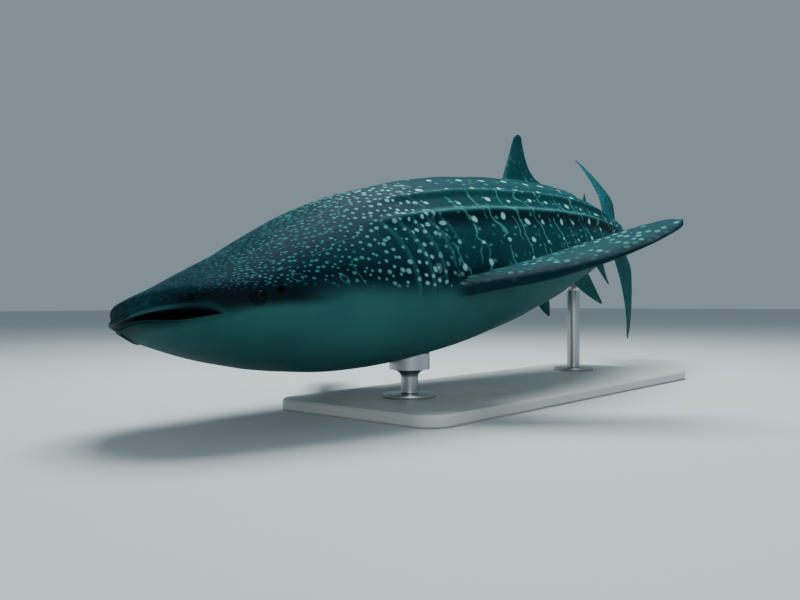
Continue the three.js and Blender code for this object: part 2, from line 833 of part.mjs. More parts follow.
function tailLobe(rows, span, curl, steps) {
  const reach = rows[rows.length - 1][0];
  return fin({
    origin: [TAIL_ROOT, 0, 0],
    span,
    chord: straightBack,
    rows,
    thickness: (h) =>
      0.0085 * (1 - 0.78 * smooth(0, reach, h)) +
      0.009 * (1 - smooth(0, 0.04, h)),
    steps,
    pitch: (h) => span.z * LOBE_TWIST * smooth(0, 0.06, h),
    rise: (h) => span.z * curl * Math.max(0, h / reach) ** CURL_POWER,
  });
}

add("shoulder", shoulder, HIDE);
add("flank", solid(trunkLength(FLANK_STATIONS)), HIDE);
add("loin", solid(trunkLength(LOIN_STATIONS)), HIDE);
add("tail_stock", solid(trunkLength(TAIL_STOCK_STATIONS)), HIDE);
add("pectoral_fin_left", pectoral(1), FIN_HIDE);
add("pectoral_fin_right", pectoral(-1), FIN_HIDE);
add("first_dorsal_fin", firstDorsal, FIN_HIDE);
add("second_dorsal_fin", secondDorsal, FIN_HIDE);
add("pelvic_fin_left", pelvic(1), FIN_HIDE);
add("pelvic_fin_right", pelvic(-1), FIN_HIDE);
add("anal_fin", analFin, FIN_HIDE);
add(
  "tail_lobe_upper",
  tailLobe(UPPER_LOBE_ROWS, straightUp, UPPER_LOBE_CURL, 12),
  FIN_HIDE,
);
add(
  "tail_lobe_lower",
  tailLobe(LOWER_LOBE_ROWS, straightDown, LOWER_LOBE_CURL, 9),
  FIN_HIDE,
);

// The stand: a flat base with eased edges, and two rods with a foot plate and a shaped saddle under the belly.
const BASE_CORNER = 160;
const BASE_EDGE = 12;
function standBase() {
  const [x, y, r] = [
    BASE_LENGTH / 2 - BASE_EDGE,
    BASE_WIDTH / 2 - BASE_EDGE,
    BASE_CORNER - BASE_EDGE,
  ];
  const outline = new THREE.Shape();
  outline.absarc(x - r, y - r, r, 0, Math.PI / 2);
  outline.absarc(r - x, y - r, r, Math.PI / 2, Math.PI);
  outline.absarc(r - x, r - y, r, Math.PI, 1.5 * Math.PI);
  outline.absarc(x - r, r - y, r, 1.5 * Math.PI, 2 * Math.PI);
  return new THREE.ExtrudeGeometry(outline, {
    depth: BASE_THICKNESS - 2 * BASE_EDGE,
    bevelThickness: BASE_EDGE,
    bevelSize: BASE_EDGE,
    bevelSegments: 1,
    curveSegments: 8,
  }).translate(0, 0, BASE_EDGE);
}

const FOOT_RADIUS = 170;
const FOOT_THICKNESS = 24;
const SADDLE_RADIUS = 130;
const SADDLE_HEIGHT = 70;
const ROD_SIDES = 24;
function standRod(station) {
  const belly = skinPoint(station, 180);
  const foot = BASE_THICKNESS + GAP;
  const saddle = belly.z - SADDLE_HEIGHT - foot;
  const tall = belly.z + 250 - foot;
  const profile = [
    [0, 0],
    [FOOT_RADIUS, 0],
    [FOOT_RADIUS, FOOT_THICKNESS],
    [ROD_RADIUS, FOOT_THICKNESS + 10],
    [ROD_RADIUS, saddle - 40],
    [SADDLE_RADIUS, saddle],
    [SADDLE_RADIUS, tall],
    [0, tall],
  ].map(([r, z]) => new THREE.Vector2(r, z));
  const geometry = new THREE.LatheGeometry(profile, ROD_SIDES)
    .rotateX(Math.PI / 2)
    .translate(belly.x, belly.y, foot);
  return lowest(solid(geometry).subtract(swollenTrunk));
}

// Of the pieces that the belly cuts a rod into, the one that stands on the base.
const lowest = (shape) =>
  shape
    .decompose()
    .reduce((a, b) => (b.boundingBox().min[2] < a.boundingBox().min[2] ? b : a));

add("stand_base", solid(standBase()), PAINTED_BASE);
add("stand_rod_front", standRod(0.24), STEEL);
add("stand_rod_rear", standRod(0.57), STEEL);

export default shark;
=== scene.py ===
import bpy
import numpy as np
from mathutils import Matrix


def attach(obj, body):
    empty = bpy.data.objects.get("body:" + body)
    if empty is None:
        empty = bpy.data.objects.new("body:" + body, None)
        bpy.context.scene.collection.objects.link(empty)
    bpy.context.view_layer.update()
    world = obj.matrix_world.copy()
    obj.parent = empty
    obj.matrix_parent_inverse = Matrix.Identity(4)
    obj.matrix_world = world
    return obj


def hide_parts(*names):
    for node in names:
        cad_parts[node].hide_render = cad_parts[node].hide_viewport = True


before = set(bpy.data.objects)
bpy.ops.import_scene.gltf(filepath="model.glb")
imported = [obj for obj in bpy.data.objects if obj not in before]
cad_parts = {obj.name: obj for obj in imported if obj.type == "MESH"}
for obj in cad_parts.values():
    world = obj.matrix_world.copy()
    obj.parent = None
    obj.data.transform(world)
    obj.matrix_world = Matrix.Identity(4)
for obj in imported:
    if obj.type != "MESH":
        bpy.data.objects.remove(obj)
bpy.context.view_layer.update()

# ---------------------------------------------------------------- trunk
# The shark's trunk from the snout to the tail's root, with its long ridges
# and five gill slits a side. On a museum model it is one painted glass-fibre
# shell, bent in a gentle turn and carried nose down and banked.
TOTAL_LENGTH = 7.5
DIVE = np.radians(8)
BANK = np.radians(12)
SNOUT = np.array([3.060, -0.140, 0.630])


def curve(rows, column=1):
    """A smooth line through rows of [x, y, ...] that never overshoots them:
    a cubic between rows, whose slope at a row is the harmonic mean of the
    slopes on either side of it."""
    rows = np.array(rows, float)
    x, y = rows[:, 0], rows[:, column]
    slope = np.diff(y) / np.diff(x)
    before, after = slope[:-1], slope[1:]
    same = before * after > 0
    total = np.where(same, before + after, 1)
    inner = np.where(same, 2 * before * after / total, 0)
    tangent = np.concatenate([slope[:1], inner, slope[-1:]])

    def value(v):
        v = np.clip(np.asarray(v, float), x[0], x[-1])
        i = np.clip(np.searchsorted(x, v, side="right") - 1, 0, len(x) - 2)
        h = x[i + 1] - x[i]
        t = (v - x[i]) / h
        return (y[i] * (1 + 2 * t) * (1 - t) ** 2
                + tangent[i] * h * t * (1 - t) ** 2
                + y[i + 1] * t * t * (3 - 2 * t)
                + tangent[i + 1] * h * t * t * (t - 1))

    return value


def smooth(low, high, v):
    """0 below low, 1 above high, and an even S between: t * t * (3 - 2t)."""
    t = np.clip((np.asarray(v, float) - low) / (high - low), 0, 1)
    return t * t * (3 - 2 * t)


# The middle line: straight through the skull, then a turn that tightens
# towards the tail. It heads straight back at LEVEL_STATION.
LEVEL_STATION = 0.3


def tail_share(s):
    """How far the tail's own turn has come at a station."""
    return np.clip((s - 0.5) / 0.3, 0, 1.2) ** 2


def heading(s):
    """The way the middle line heads, in radians from straight back."""
    return (-0.365 * (np.maximum(s, 0.08) - LEVEL_STATION)
            - 0.123 * tail_share(s))


LINE_STEP = 1.05 / 420
LEVEL_STEP = round(LEVEL_STATION / LINE_STEP)
line_middles = (np.arange(420) + 0.5) * LINE_STEP
line_stations = np.arange(421) * LINE_STEP
line_back, line_left, line_up = (
    LINE_STEP * np.concatenate([[0], np.cumsum(step)]) for step in (
        np.cos(heading(line_middles)), np.sin(heading(line_middles)),
        np.sin(0.02 * tail_share(line_middles))))
line_back = line_back + LEVEL_STATION - line_back[LEVEL_STEP]
line_left = line_left - line_left[LEVEL_STEP]


def centre(s):
    """Where the middle line is at a station, as shares of the length: back,
    left and up."""
    extra = np.minimum(s, 0)
    return (np.interp(s, line_stations, line_back)
            + extra * np.cos(heading(0.0)),
            np.interp(s, line_stations, line_left)
            + extra * np.sin(heading(0.0)),
            np.interp(s, line_stations, line_up))


def turned(angle, first, second):
    """The 3 by 3 matrix that turns by an angle from one axis to another."""
    matrix = np.eye(3)
    matrix[first, first] = matrix[second, second] = np.cos(angle)
    matrix[second, first] = np.sin(angle)
    matrix[first, second] = -np.sin(angle)
    return matrix


POSE = turned(DIVE, 2, 0) @ turned(BANK, 1, 2)


def place(s, y, z):
    """A point of the straight animal in the stand's frame: the middle line's
    point at s, moved y sideways across the line and z up, then posed."""
    s, y, z = np.broadcast_arrays(s, y, z)
    back, left, up = centre(s)
    turn = heading(s)
    straight = np.stack([
        -TOTAL_LENGTH * back + np.sin(turn) * y,
        TOTAL_LENGTH * left + np.cos(turn) * y,
        z + TOTAL_LENGTH * up], -1)
    return straight @ POSE.T + SNOUT


def unplace(points):
    """The station, side distance and height that place() would need, found
    by stepping along the middle line until the point lies square to it."""
    straight = (points - SNOUT) @ POSE
    s = np.clip(-straight[:, 0] / TOTAL_LENGTH, -0.02, 1.04)
    for _ in range(14):
        back, left, up = centre(s)
        turn = heading(s)
        behind = -straight[:, 0] - TOTAL_LENGTH * back
        beside = straight[:, 1] - TOTAL_LENGTH * left
        ahead = behind * np.cos(turn) + beside * np.sin(turn)
        s = np.clip(s + ahead / TOTAL_LENGTH, -0.02, 1.04)
    back, left, up = centre(s)
    turn = heading(s)
    behind = -straight[:, 0] - TOTAL_LENGTH * back
    beside = straight[:, 1] - TOTAL_LENGTH * left
    y = beside * np.cos(turn) - behind * np.sin(turn)
    return s, y, straight[:, 2] - TOTAL_LENGTH * up


# The rows give a station, the back's height, the belly's depth and the half
# width there, all as shares of the length.
BODY_LINES = [
    [0.0, 0.0082, -0.007, 0.0464],
    [0.01, 0.0115, -0.0122, 0.0553],
    [0.02, 0.0141, -0.0175, 0.061],
    [0.05, 0.0235, -0.034, 0.0693],
    [0.075, 0.0312, -0.0456, 0.0745],
    [0.1, 0.041, -0.055, 0.0787],
    [0.15, 0.0566, -0.068, 0.0845],
    [0.2, 0.0665, -0.075, 0.0875],
    [0.25, 0.0714, -0.0775, 0.0875],
    [0.3, 0.0733, -0.0765, 0.0855],
    [0.4, 0.0706, -0.0686, 0.078],
    [0.5, 0.0622, -0.055, 0.0665],
    [0.6, 0.0474, -0.039, 0.0477],
    [0.7, 0.0303, -0.024, 0.0278],
    [0.78, 0.021, -0.0165, 0.018],
    [0.81, 0.0165, -0.012, 0.011],
    [0.838, 0.0035, -0.0025, 0.0018],
]
top_at = curve(BODY_LINES, 1)
bottom_at = curve(BODY_LINES, 2)
width_at = curve(BODY_LINES, 3)
SIDE_POWER = 2 / 2.3
TOP_POWER = 2 / 2.1


def section(s):
    """A section's half width, the level where it is widest, and its rise
    and fall from there. The snout closes in plan and from the side."""
    nose = np.clip(1 - s / 0.01, 0, 1)
    lip = np.clip(1 - s / 0.0045, 0, 1)
    opened = np.sqrt(1 - lip * lip)
    level = bottom_at(s) * 0.18
    return (TOTAL_LENGTH * width_at(s) * (1 - nose ** 2.8) ** (1 / 2.8),
            TOTAL_LENGTH * level,
            TOTAL_LENGTH * (top_at(s) - level) * opened,
            TOTAL_LENGTH * (level - bottom_at(s)) * opened)


def sweep_back(s, y):
    """How far the front of the head falls back towards its sides."""
    side = np.abs(y) / (TOTAL_LENGTH * width_at(s))
    return 0.02 * np.exp(-np.maximum(s, 0) / 0.03) * side ** 3


ridge_angles = [
    curve([[0.18, 22], [0.6, 28]]),
    curve([[0.18, 43], [0.55, 58], [0.7, 62]]),
    curve([[0.16, 59], [0.53, 75], [0.74, 90]]),
]


def ridge_heights(s):
    """The heights of the three ridges of a flank, as shares."""
    return [
        0.0018 * smooth(0.17, 0.23, s) * (1 - smooth(0.54, 0.62, s)),
        0.003 * smooth(0.16, 0.22, s) * (1 - smooth(0.58, 0.68, s)),
        0.0034 * smooth(0.15, 0.2, s) + 0.0045 * smooth(0.66, 0.74, s)
        - 0.0079 * smooth(0.8, 0.836, s),
    ]


# The gills: five slits that run side by side, each under the free edge of
# a low flap.
GILL_FIRST = 0.165
GILL_PITCH = 0.0145
GILL_TOP = [54, 57, 60, 62, 64]
GILL_FOOT = [108, 106, 101, 93, 85]
GILL_PROFILE = [
    [-0.0118, -0.007, -0.003, -0.0008, 0, 0.0004, 0.001, 0.0024],
    [0, 0.005, 0.014, 0.02, 0.018, -0.014, -0.012, 0.0]]


def gill_bend(side):
    """How far behind its upper end a slit lies at an angle."""
    t = np.clip((side - 54) / 54, 0, 1)
    return 0.00032 * (side - 54) + 0.004 * np.sin(np.pi * t)


def gill_shift(s, side):
    """gill_bend where the gills are, dying out ahead of them and behind."""
    window = smooth(0.125, 0.15, s) * (1 - smooth(0.24, 0.285, s))
    return window * gill_bend(np.clip(side, 30, 125))


def gill_share(number, side):
    """How far down a slit an angle is: 0 at its top, 1 at its foot."""
    return np.clip((side - GILL_TOP[number])
                   / (GILL_FOOT[number] - GILL_TOP[number]), 0, 1)


def gill_lift(u, side):
    """The flaps' height over the skin: a slow rise to the free edge, a drop
    into the slit just behind it, and back to the skin."""
    lift = np.zeros(np.broadcast(u, side).shape)
    for number in range(5):
        d = u - GILL_FIRST - GILL_PITCH * number
        swell = np.sin(np.pi * gill_share(number, side)) ** 0.7
        lift = lift + np.interp(d, *GILL_PROFILE) * swell
    return lift


# The mouth's upper edge from the side, as station and height, and how far
# over it the groove of the lip runs.
MOUTH_CORNER = 0.038
GROOVE_HEIGHT = 0.0058
upper_line = curve([[0, -0.0028], [0.008, -0.0038], [0.016, -0.0056],
                    [0.024, -0.0083], [0.031, -0.0111],
                    [MOUTH_CORNER, -0.0150]])


def ring_point(s, side_angle):
    """A superellipse of a station's half width, rise and fall, at an angle
    in degrees, 0 on the back, 90 on the left, 180 below: how far to the
    side, how far over the level, and the level."""
    width, level, rise, fall = section(s)
    angle = np.radians(side_angle)
    sine, cosine = np.sin(angle), np.cos(angle)
    y = width * np.sign(sine) * np.abs(sine) ** SIDE_POWER
    z = np.where(cosine > 0, rise * np.abs(cosine) ** TOP_POWER,
                 -fall * np.abs(cosine) ** SIDE_POWER)
    return y, z, level


def trunk_point(u, side_angle):
    """The trunk's skin at a station and an angle: that ring's superellipse,
    moved along its own radius by the ridges, the back's crest, the gill
    flaps, the fold behind the jaw, the brow, the groove over the lip and a
    slow unevenness."""
    side = np.abs(side_angle)
    s = u + gill_shift(u, side)
    y, z, level = ring_point(s, side_angle)
    sweep = sweep_back(s, y)
    reach = np.maximum(np.hypot(y, z), 1e-6)
    crest = 0.0015 * smooth(0.1, 0.2, s) * (1 - smooth(0.66, 0.74, s))
    raised = TOTAL_LENGTH * crest * np.exp(-(side / 3.2) ** 2)
    for ridge, height in zip(ridge_angles, ridge_heights(s)):
        away = (side - ridge(s)) / 2.9
        raised = raised + TOTAL_LENGTH * height * np.exp(-away ** 2)
    raised = raised + gill_lift(u, side)
    hollow = np.exp(-((s - 0.093) / 0.012) ** 2 - ((side - 96) / 24) ** 2)
    brow = np.exp(-((s - 0.056) / 0.014) ** 2 - ((side - 84) / 9) ** 2)
    raised = raised - 0.010 * hollow + 0.006 * brow
    above = (z + level) / TOTAL_LENGTH - upper_line(s + sweep)
    groove = np.exp(-((above - GROOVE_HEIGHT) / 0.0010) ** 2)
    raised = raised - 0.007 * groove * (1 - smooth(0.020, 0.032, s + sweep))
    slow = (np.sin(s * 41 + side * 0.021) * np.sin(s * 23 - side * 0.07)
            + 0.6 * np.sin(s * 97 + side * 0.13 + 1.7))
    raised = raised + 0.0022 * slow * smooth(0.02, 0.08, s) \
        * (1 - smooth(0.7, 0.8, s))
    return place(s + sweep, y + y / reach * raised,
                 z + z / reach * raised + level)


def closed_mesh(name, points):
    """A closed surface from a grid of rings: each ring joins the next, and
    the first and last are drawn to their own middles."""
    rows, count = points.shape[:2]
    corners = np.arange(rows * count).reshape(rows, count)
    near, far = corners[:-1], corners[1:]
    quads = np.stack([near, np.roll(near, -1, 1), np.roll(far, -1, 1), far],
                     -1).reshape(-1, 4)
    ends = []
    for ring, pole, flip in ((corners[0], rows * count, True),
                             (corners[-1], rows * count + 1, False)):
        across = np.roll(ring, -1)
        first, second = (across, ring) if flip else (ring, across)
        ends.append(np.stack(
            [np.full(count, pole), first, second], -1))
    poles = np.stack([points[0].mean(0), points[-1].mean(0)])
    where = np.concatenate([points.reshape(-1, 3), poles])
    mesh = bpy.data.meshes.new(name)
    mesh.from_pydata(where.tolist(), [],
                     quads.tolist() + np.concatenate(ends).tolist())
    mesh.update()
    piece = bpy.data.objects.new(name, mesh)
    bpy.context.scene.collection.objects.link(piece)
    # A shell whose volume comes out below zero is inside out.
    mesh.calc_loop_triangles()
    faces = np.empty(len(mesh.loop_triangles) * 3, np.int32)
    mesh.loop_triangles.foreach_get("vertices", faces)
    a, b, c = np.moveaxis(where[faces.reshape(-1, 3)], 1, 0)
    if np.einsum("ij,ij->i", a, np.cross(b, c)).sum() < 0:
        mesh.flip_normals()
    return piece


def stations_between(first, last, step):
    """Even stations from first up to, but not at, last."""
    return np.linspace(first, last, max(2, int((last - first) / step)),
                       endpoint=False)


gill_rows = (GILL_FIRST + GILL_PITCH * np.arange(5)[:, None] + np.sort(
    GILL_PROFILE[0] + [-0.0095, -0.005, -0.0018])).ravel()
trunk_rows = np.concatenate([
    [0.00004, 0.00016, 0.00036, 0.00065],
    stations_between(0.001, 0.006, 0.0006),
    stations_between(0.006, 0.04, 0.0011),
    stations_between(0.04, 0.09, 0.0014),
    stations_between(0.09, 0.153, 0.0024),
    np.unique(np.round(gill_rows, 6)),
    stations_between(0.2265, 0.3, 0.0035),
    stations_between(0.3, 0.8, 0.0058),
    stations_between(0.8, 0.8385, 0.003),
])
side_steps = np.concatenate([
    np.linspace(0, 16, 9, endpoint=False),
    np.linspace(16, 116, 78, endpoint=False),
    np.linspace(116, 180, 23)])
trunk_angles = np.concatenate([side_steps, -side_steps[1:-1][::-1]])
trunk = closed_mesh("trunk_shell", trunk_point(
    trunk_rows[:, None], trunk_angles[None, :]))

# ---------------------------------------------------------------- fins
# Two pectorals, two pelvics, two dorsals, the anal fin and the tail's two
# lobes: cartilage under skin, moulded as one with the body, thick and
# rounded at the front edge and thin at the trailing one.
FOIL = curve([[0, 0], [0.012, 0.27], [0.06, 0.62], [0.28, 1], [0.6, 0.72],
              [0.9, 0.22], [1, 0.03]])


def blade(name, origin, span, chord, rows, thickness, pitch=None, rise=None,
          across=26, along=44, ragged=0.0):
    """A fin: a foil section, half thickness FOIL over the chord, carried
    along the span between the leading and trailing lines of its rows, with
    the chord turned by pitch and the span bent by rise. The trailing edge
    wanders a little where it is ragged."""
    leading, trailing = curve(rows, 1), curve(rows, 2)
    low, high = rows[0][0], rows[-1][0]
    t = np.linspace(0, 1, along)
    h = low + (high - low) * (1 - (1 - t) ** 1.35)
    c = (1 - np.cos(np.pi * np.linspace(0, 1, across))) / 2
    upper = np.stack([c, FOIL(c)], -1)
    loop = np.concatenate([upper, (upper * [1, -1])[-2:0:-1]])
    turn = np.zeros_like(h) if pitch is None else pitch(h)
    bend = np.zeros_like(h) if rise is None else rise(h)
    side = np.cross(span, chord)
    turned_chord = (np.cos(turn)[:, None] * chord
                    + np.sin(turn)[:, None] * side)
    normal = np.cross(span, turned_chord)
    width = trailing(h) - leading(h)
    wander = ragged * (np.sin(h * 310) + 0.6 * np.sin(h * 730 + 1)) \
        * smooth(0.0, 0.02, h)
    c_at = leading(h)[:, None] + (width + wander)[:, None] * loop[None, :, 0]
    n_at = (thickness(h)[:, None] * loop[None, :, 1] / 2
            + bend[:, None])
    point = (np.array(origin) + h[:, None, None] * span
             + c_at[..., None] * turned_chord[:, None, :]
             + n_at[..., None] * normal[:, None, :])
    return closed_mesh(name, place(point[..., 0], TOTAL_LENGTH * point[..., 1],
                                   TOTAL_LENGTH * point[..., 2]))


def unit(x, y, z):
    """A direction of length 1."""
    v = np.array([x, y, z], float)
    return v / np.linalg.norm(v)


def chord_for(level, span):
    """The part of a level direction that lies square to the span."""
    return unit(*(level - level @ span * span))


PECTORAL_ROOT = [0.2142, 0.0782, -0.0332]
PECTORAL_SPREAD = [0.715, 0.7, 0.011]
PECTORAL_LEVEL = [0.7, -0.715, 0]
PECTORAL_SPAN = 0.196
PECTORAL_ROWS = [
    [-0.02, 0.004, 0.05], [0, 0, 0.053], [0.014, -0.004, 0.06],
    [0.035, -0.0075, 0.053], [0.08, -0.0115, 0.044], [0.12, -0.0105, 0.041],
    [0.155, -0.006, 0.037], [0.18, 0.001, 0.031], [0.192, 0.007, 0.0245],
    [PECTORAL_SPAN, 0.014, 0.018],
]
pectoral_pitch = curve([[0, -10], [0.05, -15.5], [0.1, -21],
                        [PECTORAL_SPAN, -27]])


def pectoral_droop(h):
    """The fin's bow along its span: one half wave."""
    return 0.0059 * np.sin(np.pi * np.clip(h / PECTORAL_SPAN, 0, 1))


def pectoral_thickness(h):
    """Thick at the root, thinning to the tip."""
    outer = smooth(-0.02, 0.05, h)
    return (0.0155 * (1 - outer)
            + 0.0105 * outer * (1 - smooth(0.05, PECTORAL_SPAN, h)) + 0.003)


SIDES = (("left", 1), ("right", -1))
fins = []
for name, way in SIDES:
    mirror = np.array([1, way, 1])
    span = unit(*(PECTORAL_SPREAD * mirror))
    fins.append(blade(
        "pectoral_" + name, PECTORAL_ROOT * mirror, span,
        chord_for(unit(*(PECTORAL_LEVEL * mirror)), span), PECTORAL_ROWS,
        pectoral_thickness,
        lambda h, way=way: way * np.radians(pectoral_pitch(h)),
        lambda h, way=way: way * pectoral_droop(h), 34, 64, 0.00035))

BACK, UP, DOWN = unit(1, 0, 0), unit(0, 0, 1), unit(0, 0, -1)
FIRST_DORSAL_ROWS = [
    [-0.03, 0.004, 0.1], [-0.008, 0.006, 0.112], [0, 0.014, 0.12],
    [0.005, 0.021, 0.1205], [0.013, 0.031, 0.107], [0.027, 0.0455, 0.0965],
    [0.042, 0.061, 0.096], [0.055, 0.074, 0.0985], [0.0615, 0.082, 0.1],
    [0.0645, 0.089, 0.097],
]
SECOND_DORSAL_ROWS = [
    [-0.014, 0, 0.03], [0, 0.002, 0.038], [0.0045, 0.007, 0.038],
    [0.0105, 0.013, 0.0315], [0.019, 0.023, 0.032], [0.024, 0.03, 0.034],
]


for name, origin, rows, thick, across, along, ragged in (
        ("first", [0.43, 0, 0.0635], FIRST_DORSAL_ROWS, 0.0105, 30, 48,
         0.0004),
        ("second", [0.655, 0, 0.0345], SECOND_DORSAL_ROWS, 0.0055, 20, 26,
         0.0002)):
    fins.append(blade(
        "dorsal_" + name, origin, UP, BACK, rows,
        lambda h, thick=thick, reach=rows[-1][0]: (
            thick * (1 - 0.8 * smooth(0, reach, h))
            + thick * 0.7 * (1 - smooth(-0.004, 0.014, h))),
        across=across, along=along, ragged=ragged))

ANAL_ROWS = [
    [-0.012, 0, 0.028], [0, 0.002, 0.036], [0.006, 0.006, 0.037],
    [0.014, 0.013, 0.035], [0.026, 0.024, 0.0355], [0.034, 0.0335, 0.0385],
]

PELVIC_ROWS = [
    [-0.014, 0.002, 0.036], [0, 0, 0.043], [0.008, 0.0015, 0.046],
    [0.02, 0.008, 0.043], [0.034, 0.0185, 0.038], [0.045, 0.029, 0.034],
]
for name, origin, span, rows, thick, along in (
        ("anal", [0.652, 0, -0.0295], DOWN, ANAL_ROWS, 0.006, 26),
        ("pelvic_left", [0.508, 0.026, -0.047], unit(0.28, 0.2, -0.92),
         PELVIC_ROWS, 0.0075, 28),
        ("pelvic_right", [0.508, -0.026, -0.047], unit(0.28, -0.2, -0.92),
         PELVIC_ROWS, 0.0075, 28)):
    fins.append(blade(
        name, origin, span, chord_for(BACK, span), rows,
        lambda h, thick=thick, reach=rows[-1][0]: (
            thick * (1 - 0.75 * smooth(0, reach, h))),
        across=20, along=along))

TAIL_ROOT = 0.775
UPPER_LOBE_ROWS = [
    [-0.012, -0.004, 0.06], [0.0, -0.003, 0.072], [0.018, 0, 0.08],
    [0.038, 0.02, 0.093], [0.062, 0.05, 0.109], [0.087, 0.087, 0.131],
    [0.109, 0.127, 0.159], [0.126, 0.165, 0.187], [0.138, 0.195, 0.2075],
    [0.143, 0.2105, 0.2145],
]
LOWER_LOBE_ROWS = [
    [-0.008, -0.006, 0.06], [0.0, -0.008, 0.072], [0.02, -0.005, 0.073],
    [0.045, 0.007, 0.075], [0.073, 0.025, 0.08], [0.101, 0.046, 0.0875],
    [0.128, 0.0685, 0.096], [0.149, 0.0865, 0.1025], [0.157, 0.096, 0.1015],
]
for name, rows, span, curl in (
        ("tail_upper", UPPER_LOBE_ROWS, UP, -0.078),
        ("tail_lower", LOWER_LOBE_ROWS, DOWN, -0.045)):
    reach = rows[-1][0]
    fins.append(blade(
        name, [TAIL_ROOT, 0, 0], span, BACK, rows,
        lambda h, reach=reach: 0.0085 * (1 - 0.78 * smooth(0, reach, h))
        + 0.009 * (1 - smooth(0, 0.04, h)),
        lambda h, span=span: span[2] * np.radians(10) * smooth(0, 0.06, h),
        lambda h, span=span, curl=curl, reach=reach: span[2] * curl
        * np.maximum(0, h / reach) ** 1.7,
        28, 60, 0.0005))

# ---------------------------------------------------------------- head
# The broad flat head, moulded with the shell: a mouth slot across the front
# with a roll of lip above and below, a nostril over each side of the upper
# lip, sockets with raised lids for the small eyes, and the spiracles.
lower_line = curve([[0, -0.0052], [0.005, -0.0073], [0.012, -0.0102],
                    [0.02, -0.0128], [0.028, -0.0141],
                    [MOUTH_CORNER, -0.0152]])
LIP_RADIUS = 0.0017
MOUTH_HALF_WIDTH = 0.066


def unsweep(s, y, rounds):
    """The station that a skin point had before the head's sides fell back,
    found by taking their fall off again and again."""
    station = s
    for _ in range(rounds):
        station = s - sweep_back(np.maximum(station, 0), y)
    return station


def inside_skin(s, y, z):
    """True where a point of the straight animal is inside the smooth
    skin."""
    station = unsweep(s, y, 30)
    width, level, rise, fall = section(np.maximum(station, 1e-6))
    up = z >= level
    height = np.abs(z - level) / np.maximum(np.where(up, rise, fall), 1e-9)
    power = np.where(up, 2 / TOP_POWER, 2 / SIDE_POWER)
    inside = (np.abs(y) / np.maximum(width, 1e-9)) ** (2 / SIDE_POWER) \
        + height ** power
    return (station > 0) & (inside < 1)


def lip_path(edge, degrees):
    """Where a mouth edge meets the skin, in directions fanned out from the
    mouth's middle, found by halving."""
    turn = np.radians(degrees)

    def at(reach):
        s = MOUTH_CORNER * (1 - reach * np.cos(turn))
        return (s, TOTAL_LENGTH * MOUTH_HALF_WIDTH * reach * np.sin(turn),
                TOTAL_LENGTH * edge(np.maximum(s, 0)))
    low, high = np.zeros_like(turn), np.full_like(turn, 1.5)
    for _ in range(40):
        middle = (low + high) / 2
        within = inside_skin(*at(middle))
        low, high = (np.where(within, middle, low),
                     np.where(within, high, middle))
    return place(*at(low))


def roll(name, path, radius, sides=14):
    """A round roll of the given radii along a path: a circle square to the
    path at each of its points."""
    along = np.gradient(path, axis=0)
    along /= np.linalg.norm(along, axis=1, keepdims=True)
    out = np.cross(along, [0, 0, 1.0])
    out /= np.linalg.norm(out, axis=1, keepdims=True)
    over = np.cross(out, along)
    turn = np.linspace(0, 2 * np.pi, sides, endpoint=False)
    ring = (np.cos(turn)[None, :, None] * out[:, None, :]
            + np.sin(turn)[None, :, None] * over[:, None, :])
    return closed_mesh(name, path[:, None, :]
                       + radius[:, None, None] * ring)


lip_degrees = np.linspace(-86, 86, 150)
lip_ends = np.minimum(np.arange(150), np.arange(150)[::-1])
lip_taper = np.minimum(1, 0.3 + 0.06 * lip_ends)
lips = [roll("lip_" + name, lip_path(
    lambda s, edge=edge, way=way: edge(s) + way * 0.8 * LIP_RADIUS,
    lip_degrees), TOTAL_LENGTH * LIP_RADIUS * lip_taper * share)
    for name, edge, way, share in (("upper", upper_line, 1, 0.95),
                                   ("lower", lower_line, -1, 0.62))]


def mouth_cavity():
    """The mouth's hollow: the outline between the two lip lines from the
    side, open at the front and closed at the mouth's corners, carried
    straight across the head."""
    s = np.concatenate([[-0.03, -0.01, 0.0], np.linspace(0.004, 0.037, 16)])
    half = TOTAL_LENGTH * 0.12
    upper = TOTAL_LENGTH * upper_line(s)
    lower = TOTAL_LENGTH * lower_line(s)
    gap = np.maximum(upper - lower, 0.0015)
    middle = (upper + lower) / 2
    outline = np.concatenate([
        np.stack([s, middle + gap / 2], -1),
        np.stack([s, middle - gap / 2], -1)[::-1]])
    y = np.linspace(-half, half, 121)
    grid = place(outline[None, :, 0], y[:, None], outline[None, :, 1])
    return closed_mesh("mouth_slot", grid)


def egg(name, centre_at, axes, radii, rings=22, sides=32):
    """A closed egg: rings about the third axis, with its half sizes along
    the three axes."""
    up = np.linspace(0, np.pi, rings + 2)[1:-1]
    turn = np.linspace(0, 2 * np.pi, sides, endpoint=False)
    ball = np.stack([np.sin(up)[:, None] * np.cos(turn) * radii[0],
                     np.sin(up)[:, None] * np.sin(turn) * radii[1],
                     np.cos(up)[:, None] * np.ones(sides) * radii[2]], -1)
    return closed_mesh(name, centre_at + ball @ np.array(axes))


def skin_frame(s, angle, inset):
    """A point on the smooth skin, sunk by inset, with the directions along
    the body, across it and outwards."""
    def at(station, grow=0.0):
        y, z, level = ring_point(station, angle)
        sweep = sweep_back(station, y)
        reach = np.hypot(y, z)
        return place(station + sweep, y * (1 + grow / reach),
                     z * (1 + grow / reach) + level)
    here = at(s)
    out = here - at(s, -0.05)
    out /= np.linalg.norm(out)
    along = at(s + 0.005) - at(s - 0.005)
    along -= along @ out * out
    along /= np.linalg.norm(along)
    return here - out * inset, [along, np.cross(out, along), out]


def angle_at_height(s, z):
    """The angle at which the skin has a height, found by halving."""
    low, high = 0.0, 180.0
    for _ in range(40):
        middle = (low + high) / 2
        side, up, level = ring_point(s, middle)
        low, high = (middle, high) if up + level > z else (low, middle)
    return (low + high) / 2


